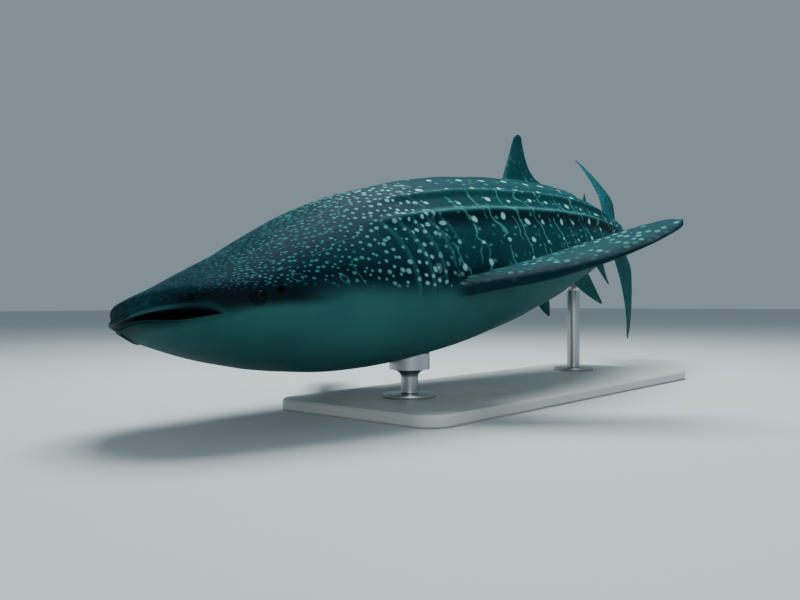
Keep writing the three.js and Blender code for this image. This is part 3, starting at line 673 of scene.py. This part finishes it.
EYE_STATION, EYE_HEIGHT = 0.0557, -0.0098
EYE_RADIUS = 0.033
EYE_DEPTH = 0.017
SPIRACLE_STATION, SPIRACLE_HEIGHT = 0.071, -0.0088
NOSTRIL_STATION = 0.0068
eye_angle = angle_at_height(EYE_STATION, TOTAL_LENGTH * EYE_HEIGHT)
spiracle_angle = angle_at_height(SPIRACLE_STATION,
                                 TOTAL_LENGTH * SPIRACLE_HEIGHT)
nostril_angle = angle_at_height(0.0045, TOTAL_LENGTH * -0.0012) - 2
added, cut = [], [mouth_cavity()]
# Each is an egg: its list, station, angle, depth and three half sizes.
for name, way in SIDES:
    for where_to, part, station, angle, depth, radii in (
            (added, "eye_mound_", EYE_STATION, eye_angle, 0.002,
             [0.052, 0.046, 0.0095]),
            (cut, "eye_socket_", EYE_STATION, eye_angle, EYE_DEPTH,
             [EYE_RADIUS + 0.0012] * 3),
            (cut, "spiracle_", SPIRACLE_STATION, spiracle_angle, 0.004,
             [0.024, 0.017, 0.024]),
            (cut, "nostril_", NOSTRIL_STATION, nostril_angle, -0.001,
             [0.012, 0.02, 0.014])):
        middle, axes = skin_frame(station, way * angle, depth)
        where_to.append(egg(part + name, middle, axes, radii))

# ---------------------------------------------------------------- one skin
# All of these are fused, as on the real model, where the joints are filled
# and sanded before it is painted: one skin with no seam.


def fuse(target, others, operation):
    """Adds others to target, or cuts them from it, one after another."""
    for other in others:
        step = target.modifiers.new(other.name, "BOOLEAN")
        step.operation = operation
        step.solver = "MANIFOLD"
        step.object = other
    bpy.context.view_layer.update()
    shape = bpy.data.meshes.new_from_object(
        target.evaluated_get(bpy.context.evaluated_depsgraph_get()))
    target.modifiers.clear()
    target.data = shape
    for other in others:
        bpy.data.objects.remove(other)


fuse(trunk, fins, "UNION")
fuse(trunk, cut[:1], "DIFFERENCE")
fuse(trunk, lips + added, "UNION")
fuse(trunk, cut[1:], "DIFFERENCE")
skin = trunk
skin.name = skin.data.name = "skin"


def vertex_places(piece):
    """Where a piece's vertices are, one row for each."""
    flat = np.empty(len(piece.data.vertices) * 3)
    piece.data.vertices.foreach_get("co", flat)
    return flat.reshape(-1, 3)


def keep(name, values, piece=skin):
    """Stores one number for each vertex under a name the paint reads."""
    layer = piece.data.attributes.new(name, "FLOAT", "POINT")
    layer.data.foreach_set("value", np.asarray(values, np.float32))


# Every vertex is traced back to the straight animal: its station, its angle
# round the body, and how far it stands off the trunk.
s, y, z = unplace(vertex_places(skin))
unswept = unsweep(s, y, 12)
width, level, rise, fall = section(np.clip(unswept, 0.0002, 0.838))
half_y = np.abs(y) / np.maximum(width, 0.01)
over = z - level
half_z = np.abs(over) / np.maximum(np.where(over > 0, rise, fall), 0.01)
power = np.where(over > 0, 1 / TOP_POWER, 1 / SIDE_POWER)
angle = np.degrees(np.arctan2(half_y ** (1 / SIDE_POWER), half_z ** power))
angle = np.where(over > 0, angle, 180 - angle)
off_trunk = (half_y ** (2 / SIDE_POWER) + half_z ** (2 * power)) ** 0.5 - 1
fin_share = smooth(0.05, 0.3, off_trunk) * smooth(0.17, 0.2, s)
fin_share = np.where(s > 0.79, np.maximum(fin_share,
                                          smooth(0.79, 0.84, s)), fin_share)
ridges = [ridge(s) for ridge in ridge_angles]

# The paint's rows and columns: columns count the spots from the shoulder to
# the tail, and rows count them from the back down, tied to the ridges.
COLUMNS = curve([[0.13, -3.2], [0.165, -2.0], [0.195, -1.0], [0.231, 0],
                 [0.268, 1], [0.305, 2], [0.341, 3], [0.377, 4],
                 [0.414, 5], [0.45, 6], [0.495, 7], [0.553, 8],
                 [0.628, 9], [0.7, 10.1], [0.78, 11.6], [0.9, 14.5]])
row_marks = np.stack([np.zeros_like(s), ridges[0], ridges[1] - 11,
                      ridges[1] + 2, ridges[2] - 2, ridges[2] + 13,
                      ridges[2] + 23, np.full_like(s, 190.0)])
ROW_NUMBERS = [1.0, 2.0, 3.0, 4.0, 5.0, 6.0, 7.0, 13.0]
rows_at = np.full_like(s, ROW_NUMBERS[-1])
for i in range(len(ROW_NUMBERS) - 1):
    low, high = row_marks[i], row_marks[i + 1]
    t = (angle - low) / np.maximum(high - low, 1e-3)
    rows_at = np.where((t >= 0) & (t < 1), ROW_NUMBERS[i]
                       + t * (ROW_NUMBERS[i + 1] - ROW_NUMBERS[i]), rows_at)
keep("column", COLUMNS(s))
keep("row", rows_at)
keep("station", s)
keep("fin", fin_share)
keep("right", smooth(-0.02, 0.02, -y))

# The head's dots crowd at the snout and grow rearwards: they count along
# the logarithm of the distance from a point ahead of the snout.
DOT_STEP = 0.0205
reach_back = s + 0.14
arc = np.sign(y) * np.radians(angle) * 0.07
keep("dot_along", np.log(np.hypot(reach_back, arc)) / DOT_STEP)
keep("dot_across", np.arctan2(arc, reach_back) / DOT_STEP)


def bell(v, middle, width, power=2):
    """1 at the middle, falling to nothing past the width either side."""
    return np.exp(-((v - middle) / width) ** power)


# Masks: the ridges' lit upper sides and the keel's shaded foot, the belly
# and a band of painted shade along the side over the belly's edge.
below_keel = angle - ridges[2]
keel_on = smooth(0.17, 0.24, s) * (1 - smooth(0.76, 0.8, s)) * (1 - fin_share)
keep("keel_light", bell(below_keel, -1.4, 1.9) * keel_on)
keep("keel_dark", smooth(0, 1.6, below_keel)
     * (1 - smooth(5, 13, below_keel)) * keel_on)
below_second = angle - ridges[1]
second_on = smooth(0.2, 0.26, s) * (1 - smooth(0.6, 0.68, s)) \
    * (1 - fin_share)
keep("second_light", bell(below_second, -1.2, 1.8) * second_on)
belly_edge = np.interp(
    s, [0, 0.03, 0.06, 0.084, 0.12, 0.16, 0.19, 0.25, 0.45, 0.7],
    [95, 92, 90, 91, 94.5, 99, 102, 107, 113, 118])
belly = smooth(-7, 8, angle - belly_edge)
keep("lower_side_shade", bell(angle - belly_edge, -9, 7.5)
     * smooth(0.012, 0.035, s) * (1 - smooth(0.22, 0.30, s))
     * (1 - fin_share))
# The pectorals are dark along the front edge, partly a dark margin and partly
# painted shade on the rounded edge, and half dark below as painted shade: h
# runs along the span, c back over the chord and n off the blade.
span = unit(*PECTORAL_SPREAD)
chord = chord_for(unit(*PECTORAL_LEVEL), span)
from_root = np.stack([s, np.abs(y) / TOTAL_LENGTH, z / TOTAL_LENGTH], -1) \
    - PECTORAL_ROOT
h = from_root @ span
tilt = np.radians(pectoral_pitch(h))
beside = np.cross(span, chord)
c = from_root @ chord * np.cos(tilt) + from_root @ beside * np.sin(tilt)
n = from_root @ beside * np.cos(tilt) - from_root @ chord * np.sin(tilt)
n = n - pectoral_droop(h)
front, rear = curve(PECTORAL_ROWS, 1)(h), curve(PECTORAL_ROWS, 2)(h)
share = (c - front) / (rear - front)
pectoral = (h > 0.004) * (np.abs(n) < 0.03) * (s < 0.42) * (fin_share > 0)
above = n * np.sign(beside[2])
keep("pectoral", pectoral)
keep("pectoral_margin_and_shade", pectoral * smooth(0.0, 0.02, h) * np.maximum(
    1 - smooth(0.08, 0.26, share), 0.5 * (above < 0)))
keep("belly", belly * (1 - 0.6 * fin_share))
# Painted shade in the gills' slits, a painted highlight on their flaps' free
# edges, painted shade inside the mouth, its lips, and painted shadow in the
# groove.
u = s - gill_shift(s, angle)
slit_shade, flap_highlight = np.zeros_like(s), np.zeros_like(s)
for number in range(5):
    d = u - GILL_FIRST - GILL_PITCH * number
    on = np.clip(np.sin(np.pi * gill_share(number, angle)) * 2.2, 0, 1)
    slit_shade = np.maximum(slit_shade, on * bell(d, 0.0008, 0.0009))
    flap_highlight = np.maximum(flap_highlight, on * bell(d, -0.0016, 0.0018))
keep("slit_shade", slit_shade * (1 - smooth(0.03, 0.1, off_trunk)))
keep("flap_highlight", flap_highlight)
above_lip = z / TOTAL_LENGTH - upper_line(s)
below_lip = lower_line(s) - z / TOTAL_LENGTH
between = (below_lip < 0.0016) * (above_lip < 0.0016)
inside = smooth(0.004, 0.014, -off_trunk * width)
# Painted shade inside the mouth.
keep("mouth", between * (s < 0.041) * inside)
on_face = (s < 0.05) * (1 - inside)
keep("lip", bell(above_lip, 0.0020, 0.0013)
     * (1 - smooth(0.030, 0.039, s)) * on_face)
# Painted shadow in the groove over the upper lip and along the lower lip's
# edge.
keep("groove", np.maximum(
    bell(above_lip, GROOVE_HEIGHT, 0.0011) * (1 - smooth(0.020, 0.032, s)),
    bell(below_lip, 0.0006, 0.0022, 4)
    * (1 - 0.75 * smooth(0.006, 0.034, s))) * on_face)
# Painted shade in the eye's socket and the spiracle's hole.
for name, station, height, near, far in (
        ("socket", EYE_STATION + 0.0021, EYE_HEIGHT, 0.030, 0.050),
        ("spiracle_shade", SPIRACLE_STATION + 0.0012, SPIRACLE_HEIGHT, 0.012, 0.026)):
    off = np.hypot(TOTAL_LENGTH * (s - station), z - TOTAL_LENGTH * height)
    keep(name, (1 - smooth(near, far, off)) * (np.abs(y) > 0.3))
# A near-black band of painted shade on the head's side, from the nostril over
# the mouth's corner to the eye.
band_line = np.interp(s, [0, 0.02, 0.04, 0.056, 0.075, 0.11],
                      [-0.0008, -0.0034, -0.0082, -0.0098, -0.0118, -0.017])
keep("band", bell(z / TOTAL_LENGTH, band_line, 0.0070, 4)
     * smooth(0.004, 0.022, s) * (1 - smooth(0.08, 0.13, s))
     * smooth(0.35, 0.6, half_y))


def shade_smooth(piece, sharp=180):
    """Smooth shading, but for edges sharper than so many degrees."""
    piece.data.polygons.foreach_set(
        "use_smooth", np.ones(len(piece.data.polygons), bool))
    if sharp < 180:
        piece.data.set_sharp_from_angle(angle=np.radians(sharp))


shade_smooth(skin, 50)


class Paint:
    """Short hands for building a node material."""

    def __init__(self, name):
        self.material = bpy.data.materials.new(name)
        self.material.use_nodes = True
        self.tree = self.material.node_tree
        self.where = self.node("TexCoord").outputs["Object"]

    def put(self, socket, value):
        """Links a value into a socket, or sets it."""
        if isinstance(value, bpy.types.NodeSocket):
            self.tree.links.new(value, socket)
        else:
            socket.default_value = value

    def node(self, kind, inputs=(), **settings):
        """A node with its settings, its inputs linked or set: by order from
        a row, or by key from a table."""
        made = self.tree.nodes.new("ShaderNode" + kind)
        for name, value in settings.items():
            setattr(made, name, value)
        for key, value in (inputs.items() if isinstance(inputs, dict)
                           else enumerate(inputs)):
            self.put(made.inputs[key], value)
        return made

    def surface(self, inputs):
        """The surface's own inputs, linked or set."""
        shader = self.tree.nodes["Principled BSDF"]
        for key, value in inputs.items():
            self.put(shader.inputs[key], value)

    def read(self, name):
        """A vertex number kept on the piece."""
        return self.node("Attribute", attribute_name=name).outputs["Fac"]

    def math(self, operation, *values, clamp=False):
        """One step of arithmetic."""
        return self.node("Math", values, operation=operation,
                         use_clamp=clamp).outputs[0]

    def chain(self, operation, first, others):
        """The same step of arithmetic with each of the others in turn."""
        for other in others:
            first = self.math(operation, first, other)
        return first

    def times(self, first, *others):
        """A product."""
        return self.chain("MULTIPLY", first, others)

    def plus(self, first, *others):
        """A sum."""
        return self.chain("ADD", first, others)

    def most(self, first, *others):
        """The largest of all."""
        return self.chain("MAXIMUM", first, others)

    def minus(self, first, second):
        """A difference."""
        return self.math("SUBTRACT", first, second)

    def sway(self, noise, reach):
        """Noise set about zero and scaled to a reach."""
        return self.times(self.minus(noise, 0.5), reach)

    def off_line(self, value):
        """How far a number is from the nearest half-way mark."""
        return self.math("ABSOLUTE", self.minus(
            self.math("FRACT", value), 0.5))

    def step(self, value, low, high, to_low=0.0, to_high=1.0):
        """An even S from to_low at low to to_high at high."""
        return self.node("MapRange", (value, low, high, to_low, to_high),
                         interpolation_type="SMOOTHSTEP").outputs[0]

    def join(self, x, y, z=0.0):
        """Three numbers as one place."""
        return self.node("CombineXYZ", (x, y, z)).outputs[0]

    def noise(self, place_at, scale, detail=2.0, rough=0.5):
        """Soft noise from 0 to 1."""
        return self.node("TexNoise", {
            "Vector": place_at, "Scale": scale, "Detail": detail,
            "Roughness": rough}).outputs["Fac"]

    def cells(self, place_at, random, scale=1.0, dimensions="2D"):
        """The node of scattered points, and the nearest point's own three
        random numbers."""
        made = self.node("TexVoronoi", {
            "Vector": place_at, "Scale": scale, "Randomness": random},
            voronoi_dimensions=dimensions)
        return made, self.node("SeparateColor",
                               (made.outputs["Color"],)).outputs

    def gap(self, place_at, spot, stretch):
        """How far a place is from a spot's middle, with each direction
        stretched."""
        apart = self.node("VectorMath", (place_at, spot.outputs["Position"]),
                          operation="SUBTRACT")
        wide = self.node("VectorMath", (apart.outputs[0], (*stretch, 0)),
                         operation="MULTIPLY")
        return self.node("VectorMath", (wide.outputs[0],),
                         operation="LENGTH").outputs["Value"]

    def mix(self, share, first, second):
        """Two colours mixed by a share."""
        first, second = (
            value if isinstance(value, bpy.types.NodeSocket) else (*value, 1)
            for value in (first, second))
        return self.node("Mix", {0: share, 6: first, 7: second},
                         data_type="RGBA").outputs[2]

    def bump(self, height, distance, strength=1.0, under=None):
        """A relief of a height in metres, over another."""
        inputs = {"Height": height, "Distance": distance,
                  "Strength": strength}
        if under is not None:
            inputs["Normal"] = under
        return self.node("Bump", inputs).outputs["Normal"]


hide = Paint("shark_hide")
where = hide.where
column, row = hide.read("column"), hide.read("row")
station = hide.read("station")
fin_here, right_side = hide.read("fin"), hide.read("right")
belly_here = hide.read("belly")
trunk_here = hide.math("SUBTRACT", 1.0, fin_here, clamp=True)

# Trunk spots: one to a cell of the columns and rows, a little out of line,
# with unsteady edges.
col_at = hide.plus(column, hide.sway(hide.noise(where, 3.0), 0.45),
                   hide.times(right_side, 40.0), 0.15)
row_at = hide.plus(row, hide.sway(hide.noise(
    hide.join(row, column, 3.0), 1.3), 0.30), 0.65)
spot_place = hide.join(col_at, row_at)
spots, spot_own = hide.cells(spot_place, 0.30)
spot_edge = hide.plus(hide.gap(spot_place, spots, (1.4, 1.0)),
                      hide.sway(hide.noise(where, 24.0, 3), 0.10))
spot_size = hide.step(spot_own[0], 0.1, 0.9, 0.08, 0.135)
trunk_spots = hide.step(hide.minus(spot_edge, spot_size),
                        -0.03, 0.04, 1.0, 0.0)

# Small faint dots between the large ones.
minor, minor_own = hide.cells(hide.join(
    hide.times(col_at, 2.1), hide.times(row_at, 2.1)), 0.8)
minor_spots = hide.times(
    hide.step(minor.outputs["Distance"], 0.08, 0.18, 1.0, 0.0),
    hide.step(minor_own[1], 0.40, 0.60))

# Head dots.
dot_along, dot_across = hide.read("dot_along"), hide.read("dot_across")
dot_place = hide.join(dot_along, dot_across)
dots, dot_own = hide.cells(dot_place, 0.72)
dot_size = hide.step(dot_own[2], 0.0, 1.0, 0.14, 0.25)
dot_edge = hide.plus(hide.gap(dot_place, dots, (0.85, 1.1)),
                     hide.sway(hide.noise(where, 60.0, 2), 0.2))
head_dots = hide.step(hide.minus(dot_edge, dot_size),
                      -0.07, 0.06, 1.0, 0.0)

# Thin pale lines: between the columns on the flank, and wandering over the
# head and gills.
line_wave = hide.sway(hide.noise(
    hide.join(column, hide.times(row, 0.9), 9.0), 1.1, 2), 0.9)
slant = hide.times(hide.minus(row, 4.0), -0.15)
line_place = hide.plus(column, slant, line_wave)
flank_lines = []
for shift, thin, breaks, starts in (
        (20.0, (0.014, 0.052, 1.0, 0.0), (5.0, 2.3, 0.36, 0.48), (3.5, 4.0)),
        (20.27, (0.012, 0.045, 0.8, 0.0), (15.0, 1.7, 0.5, 0.6),
         (4.8, 5.4))):
    depth, scale, low, high = breaks
    flank_lines.append(hide.times(
        hide.step(hide.off_line(hide.plus(line_place, shift)), *thin),
        hide.step(hide.noise(hide.join(column, row, depth), scale, 2),
                  low, high),
        hide.step(row, *starts)))
wander = hide.noise(hide.join(
    hide.times(dot_along, 0.10), hide.times(dot_across, 0.16), 2.0),
    1.0, 1.5)
head_lines = hide.times(
    hide.step(hide.off_line(hide.times(wander, 7.0)),
              0.014, 0.048, 0.75, 0.0),
    hide.step(hide.noise(where, 3.1, 2), 0.46, 0.54))

# Where head dots give way to trunk spots, and where neither is painted.
on_trunk = hide.step(hide.plus(station, hide.sway(
    hide.noise(where, 3.5), 0.06)), 0.195, 0.240)
on_head = hide.minus(1.0, on_trunk)
pattern = hide.most(hide.times(head_dots, on_head),
                    hide.times(trunk_spots, on_trunk))
faint = hide.most(
    hide.times(hide.most(*flank_lines, minor_spots), on_trunk),
    hide.times(head_lines, on_head))
bare = hide.times(hide.step(belly_here, 0.05, 0.5, 1.0, 0.0), trunk_here)

# Fins: small pale dots, each of its own strength.
fin_dots, fin_own = hide.cells(where, 0.75, 17.0, dimensions="3D")
fin_spots = hide.times(
    hide.step(fin_dots.outputs["Distance"], 0.24, 0.38, 1.0, 0.0),
    hide.step(fin_own[1], 0.05, 0.6, 0.25, 1.0))

# Colours, laid one over another from the dark ground up. Each row is a share
# and the colour that it brings: the ground's clouds and grain, the ridges'
# painted light and shade, the belly in a tone with painted shade, the painted
# shade of the lower side, then lines, spots, fins with their painted shade,
# the head's band of painted shade, the lips, the groove's painted shadow, the
# gill flaps' painted highlight and painted shade in the hollows.
cloud = hide.noise(where, 1.7, 4, 0.6)
fine = hide.noise(where, 38.0, 4, 0.65)
ground = hide.mix(hide.step(station, 0.03, 0.30),
                  (0.006, 0.022, 0.034), (0.007, 0.062, 0.072))
# The belly's tone: its own paler colour darkened with painted shade.
shaded_belly_tone = hide.mix(hide.step(cloud, 0.3, 0.7), (0.020, 0.092, 0.088),
                     (0.030, 0.120, 0.112))
spot_tone = hide.mix(hide.step(station, 0.11, 0.26), (0.010, 0.145, 0.150),
                     (0.42, 0.86, 0.80))
spot_tone = hide.mix(hide.step(spot_own[1], 0.1, 0.9, 0.0, 0.35),
                     spot_tone, (0.10, 0.38, 0.36))
# Painted shade in the hollows: the gill slits, the mouth, the eye's socket and
# the spiracles.
hollow_shade = hide.most(*map(hide.read, ("slit_shade", "mouth", "socket", "spiracle_shade")))
for share, colour in (
        (hide.step(station, 0.30, 0.8), (0.008, 0.082, 0.098)),
        (hide.times(cloud, 0.55), (0.005, 0.024, 0.034)),
        (hide.step(fine, 0.35, 0.75, 0.0, 0.30), (0.018, 0.075, 0.085)),
        (hide.times(hide.read("second_light"), 0.45), (0.035, 0.19, 0.19)),
        (hide.times(hide.read("keel_light"), 0.6), (0.045, 0.22, 0.21)),
        (hide.times(hide.read("keel_dark"), 0.82), (0.004, 0.016, 0.024)),
        (belly_here, shaded_belly_tone),
        # Painted shade along the side just over the belly's edge, on the head
        # and shoulder.
        (hide.times(hide.read("lower_side_shade"), 0.82), (0.004, 0.013, 0.019)),
        (hide.times(faint, bare, hide.step(station, 0.15, 0.3, 0.40, 0.62)),
         (0.08, 0.36, 0.33)),
        (hide.times(pattern, bare, hide.times(hide.step(
            station, 0.012, 0.07, 0.30, 1.0), 0.9)), spot_tone),
        (hide.times(fin_spots, fin_here, hide.step(
            hide.read("pectoral"), 0.3, 0.7, 0.14, 0.66)),
         (0.10, 0.42, 0.39)),
        # The pectorals' dark front margin with painted shade, and painted
        # shade under them.
        (hide.times(hide.read("pectoral_margin_and_shade"), 0.9), (0.005, 0.020, 0.028)),
        # The band of painted shade on the head's side.
        (hide.times(hide.read("band"), 0.96), (0.003, 0.007, 0.011)),
        (hide.times(hide.read("lip"), 0.60), (0.016, 0.062, 0.076)),
        # Painted shadow in the groove over the lip and under the lower lip.
        (hide.times(hide.read("groove"), 0.8), (0.003, 0.007, 0.010)),
        # A painted highlight on the gill flaps' raised free edges.
        (hide.times(hide.read("flap_highlight"), 0.30), (0.05, 0.22, 0.22)),
        # Painted shade in the hollows.
        (hide.times(hollow_shade, 0.94), (0.004, 0.007, 0.010))):
    ground = hide.mix(share, ground, colour)
relief = hide.bump(hide.noise(where, 120.0, 3, 0.6), 0.0025, 0.55)
relief = hide.bump(hide.noise(hide.join(
    hide.times(column, 3.0), hide.times(row, 5.0), 1.0), 2.0, 4, 0.6),
    0.006, 0.25, relief)
relief = hide.bump(hide.most(pattern, faint), 0.002, 0.35, relief)
hide.surface({"Base Color": ground, "Roughness": hide.step(
    hide.plus(fine, cloud), 0.6, 1.4, 0.50, 0.66),
    "Specular IOR Level": 0.02, "Normal": relief})
skin.data.materials.clear()
skin.data.materials.append(hide.material)
skin.data.polygons.foreach_set(
    "material_index", np.zeros(len(skin.data.polygons), np.int32))
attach(skin, "root")
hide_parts("head", "lower_jaw", "shoulder", "flank", "loin",
            "tail_stock", "pectoral_fin_left", "pectoral_fin_right",
            "first_dorsal_fin", "second_dorsal_fin", "pelvic_fin_left",
            "pelvic_fin_right", "anal_fin", "tail_lobe_upper",
            "tail_lobe_lower")

# ---------------------------------------------------------------- eyes
# Two small glass eyes, each a slide fit in its socket: a dark ball with a
# hardly paler iris round the pupil, under a thin clear coat.
glass = Paint("eye_glass")
axis_share = glass.read("off_axis")
streaks = glass.noise(glass.where, 160.0, 3)
iris = glass.mix(streaks, (0.003, 0.004, 0.005), (0.006, 0.008, 0.009))
iris = glass.mix(glass.step(axis_share, 0.36, 0.44), (0.002, 0.002, 0.003),
                 iris)
ball = glass.mix(glass.step(axis_share, 0.72, 0.84), iris,
                 (0.006, 0.007, 0.008))
glass.surface({"Base Color": ball, "Roughness": 0.42,
               "Specular IOR Level": 0.05, "Coat Weight": 0.03,
               "Coat Roughness": 0.08})
for name, way in SIDES:
    centre_at, axes = skin_frame(EYE_STATION, way * eye_angle, EYE_DEPTH)
    eye = egg("eye_ball_" + name, centre_at, axes, [EYE_RADIUS] * 3, 40, 56)
    towards = (vertex_places(eye) - centre_at) @ axes[2] / EYE_RADIUS
    keep("off_axis", np.sqrt(1 - np.clip(towards, 0, 1) ** 2), eye)
    shade_smooth(eye)
    eye.data.materials.append(glass.material)
    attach(eye, "root")
    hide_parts("eye_" + name)

# ---------------------------------------------------------------- base
# A flat painted board with eased edges that carries the rods, sprayed in
# an off-white satin with a faint orange-peel texture.
board = Paint("satin_board")
board.surface({
    "Base Color": board.mix(board.noise(board.where, 2.2, 4),
                            (0.60, 0.59, 0.565), (0.67, 0.66, 0.64)),
    "Roughness": board.step(board.noise(board.where, 9.0, 3),
                            0.3, 0.7, 0.38, 0.52),
    "Normal": board.bump(board.noise(board.where, 240.0, 2), 0.0006, 0.4)})
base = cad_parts["stand_base"]
base.data.materials.clear()
base.data.materials.append(board.material)

# ---------------------------------------------------------------- rods
# Two brushed steel rods, each with a round foot plate screwed to the board
# and a turned saddle that flares under the belly.
ROD_RADIUS = 0.055
FOOT_RADIUS, FOOT_THICKNESS = 0.170, 0.024
SADDLE_RADIUS, SADDLE_HEIGHT = 0.130, 0.070
BASE_TOP = 0.07
steel = Paint("brushed_steel")
stretched = steel.node("Mapping", {"Vector": steel.where,
                                   "Scale": (30, 30, 900)})
brush = steel.noise(stretched.outputs[0], 1.0, 3)
steel.surface({
    "Base Color": steel.mix(brush, (0.42, 0.43, 0.44), (0.56, 0.57, 0.58)),
    "Roughness": steel.step(brush, 0.2, 0.8, 0.26, 0.42),
    "Normal": steel.bump(brush, 0.0004, 0.3), "Metallic": 1.0})


def turned_rod(name, station):
    """A turned rod: a profile of radius against height, carried round an
    upright line under the belly at a station."""
    width, level, rise, fall = section(station)
    belly_at = place(station, 0, level - fall)
    foot = BASE_TOP + 0.0003
    saddle = belly_at[2] - SADDLE_HEIGHT
    bend = np.radians(np.linspace(0, 90, 14))
    flare = SADDLE_RADIUS - ROD_RADIUS
    r = np.concatenate([
        [0.001, FOOT_RADIUS - 0.006, FOOT_RADIUS - 0.002, FOOT_RADIUS,
         FOOT_RADIUS, FOOT_RADIUS - 0.002, FOOT_RADIUS - 0.006],
        ROD_RADIUS + 0.010 * (1 - np.sin(bend[::2])),
        [ROD_RADIUS, ROD_RADIUS],
        ROD_RADIUS + flare * (1 - np.cos(bend)),
        [SADDLE_RADIUS, SADDLE_RADIUS, SADDLE_RADIUS - 0.004, 0.001]])
    h = np.concatenate([
        foot + np.array([0, 0, 0.001, 0.005, FOOT_THICKNESS - 0.005,
                         FOOT_THICKNESS - 0.001, FOOT_THICKNESS]),
        foot + FOOT_THICKNESS + 0.010 * (1 - np.cos(bend[::2])),
        [foot + FOOT_THICKNESS + 0.02, saddle - 0.06],
        saddle - 0.05 + 0.05 * np.sin(bend),
        [saddle + 0.01, saddle + 0.1, saddle + 0.104, saddle + 0.104]])
    turn = np.linspace(0, 2 * np.pi, 96, endpoint=False)
    rod = closed_mesh(name, np.stack([
        belly_at[0] + r[:, None] * np.cos(turn),
        belly_at[1] + r[:, None] * np.sin(turn),
        h[:, None] * np.ones(96)], -1))
    shade_smooth(rod, 35)
    rod.data.materials.append(steel.material)
    return rod


for name, station_at in (("front", 0.24), ("rear", 0.57)):
    rod = turned_rod("rod_" + name, station_at)
    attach(rod, "root")
    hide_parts("stand_rod_" + name)

# ---------------------------------------------------------------- setting
# A plain pale floor, one big soft lamp overhead, a weak fill from the front,
# and the camera at the photograph's viewing angle.
floor_mesh = bpy.data.meshes.new("floor")
floor_mesh.from_pydata([(-60, -60, -0.001), (60, -60, -0.001),
                        (60, 60, -0.001), (-60, 60, -0.001)], [],
                       [(0, 1, 2, 3)])
floor = bpy.data.objects.new("floor", floor_mesh)
bpy.context.scene.collection.objects.link(floor)
pale = Paint("pale_floor")
pale.surface({"Base Color": pale.mix(
    pale.noise(pale.where, 0.7, 3), (0.60, 0.61, 0.62), (0.64, 0.65, 0.66)),
    "Roughness": 0.8})
floor.data.materials.append(pale.material)

world = bpy.data.worlds.new("studio")
world.use_nodes = True
backdrop = world.node_tree.nodes["Background"]
backdrop.inputs["Color"].default_value = (0.50, 0.65, 0.72, 1)
backdrop.inputs["Strength"].default_value = 0.45
bpy.context.scene.world = world


def stand_at(name, data, at, side, over, out):
    """A new object at a point, with its own x, y and z along side, over and
    out."""
    made = bpy.data.objects.new(name, data)
    bpy.context.scene.collection.objects.link(made)
    made.matrix_world = Matrix(
        [[side[i], over[i], out[i], at[i]] for i in range(3)]
        + [[0, 0, 0, 1]])
    return made


def lamp(name, at, aim, size, power, colour):
    """A square soft light at a point, turned towards another."""
    data = bpy.data.lights.new(name, "AREA")
    data.shape = "SQUARE"
    data.size = size
    data.energy = power
    data.color = colour
    out = np.array(at, float) - np.array(aim, float)
    out /= np.linalg.norm(out)
    side = np.cross([0, 0.001, 1.0], out)
    side /= np.linalg.norm(side)
    stand_at(name, data, at, side, np.cross(out, side), out)


lamp("overhead", (-1.0, -1.5, 8.5), (0, 0, 0.8), 5.0, 1250, (0.88, 0.98, 1.0))
lamp("side_fill", (6.5, 6.0, 3.5), (0.5, 0, 0.8), 4.0, 160, (0.9, 0.97, 1.0))

CAMERA_AT = np.array([4.97502, 3.16741, 0.67589])
CAMERA_FORWARD = np.array([-0.756066, -0.654492, 0.001901])
CAMERA_UP = np.array([-0.000521, 0.003505, 0.999994])
camera_data = bpy.data.cameras.new("camera")
camera_data.sensor_fit = "HORIZONTAL"
camera_data.sensor_width = 36
camera_data.lens = 777.3 / 800 * 36
camera_data.clip_end = 200
right = np.cross(CAMERA_FORWARD, CAMERA_UP)
right /= np.linalg.norm(right)
bpy.context.scene.camera = stand_at(
    "camera", camera_data, CAMERA_AT, right,
    np.cross(right, CAMERA_FORWARD), -CAMERA_FORWARD)
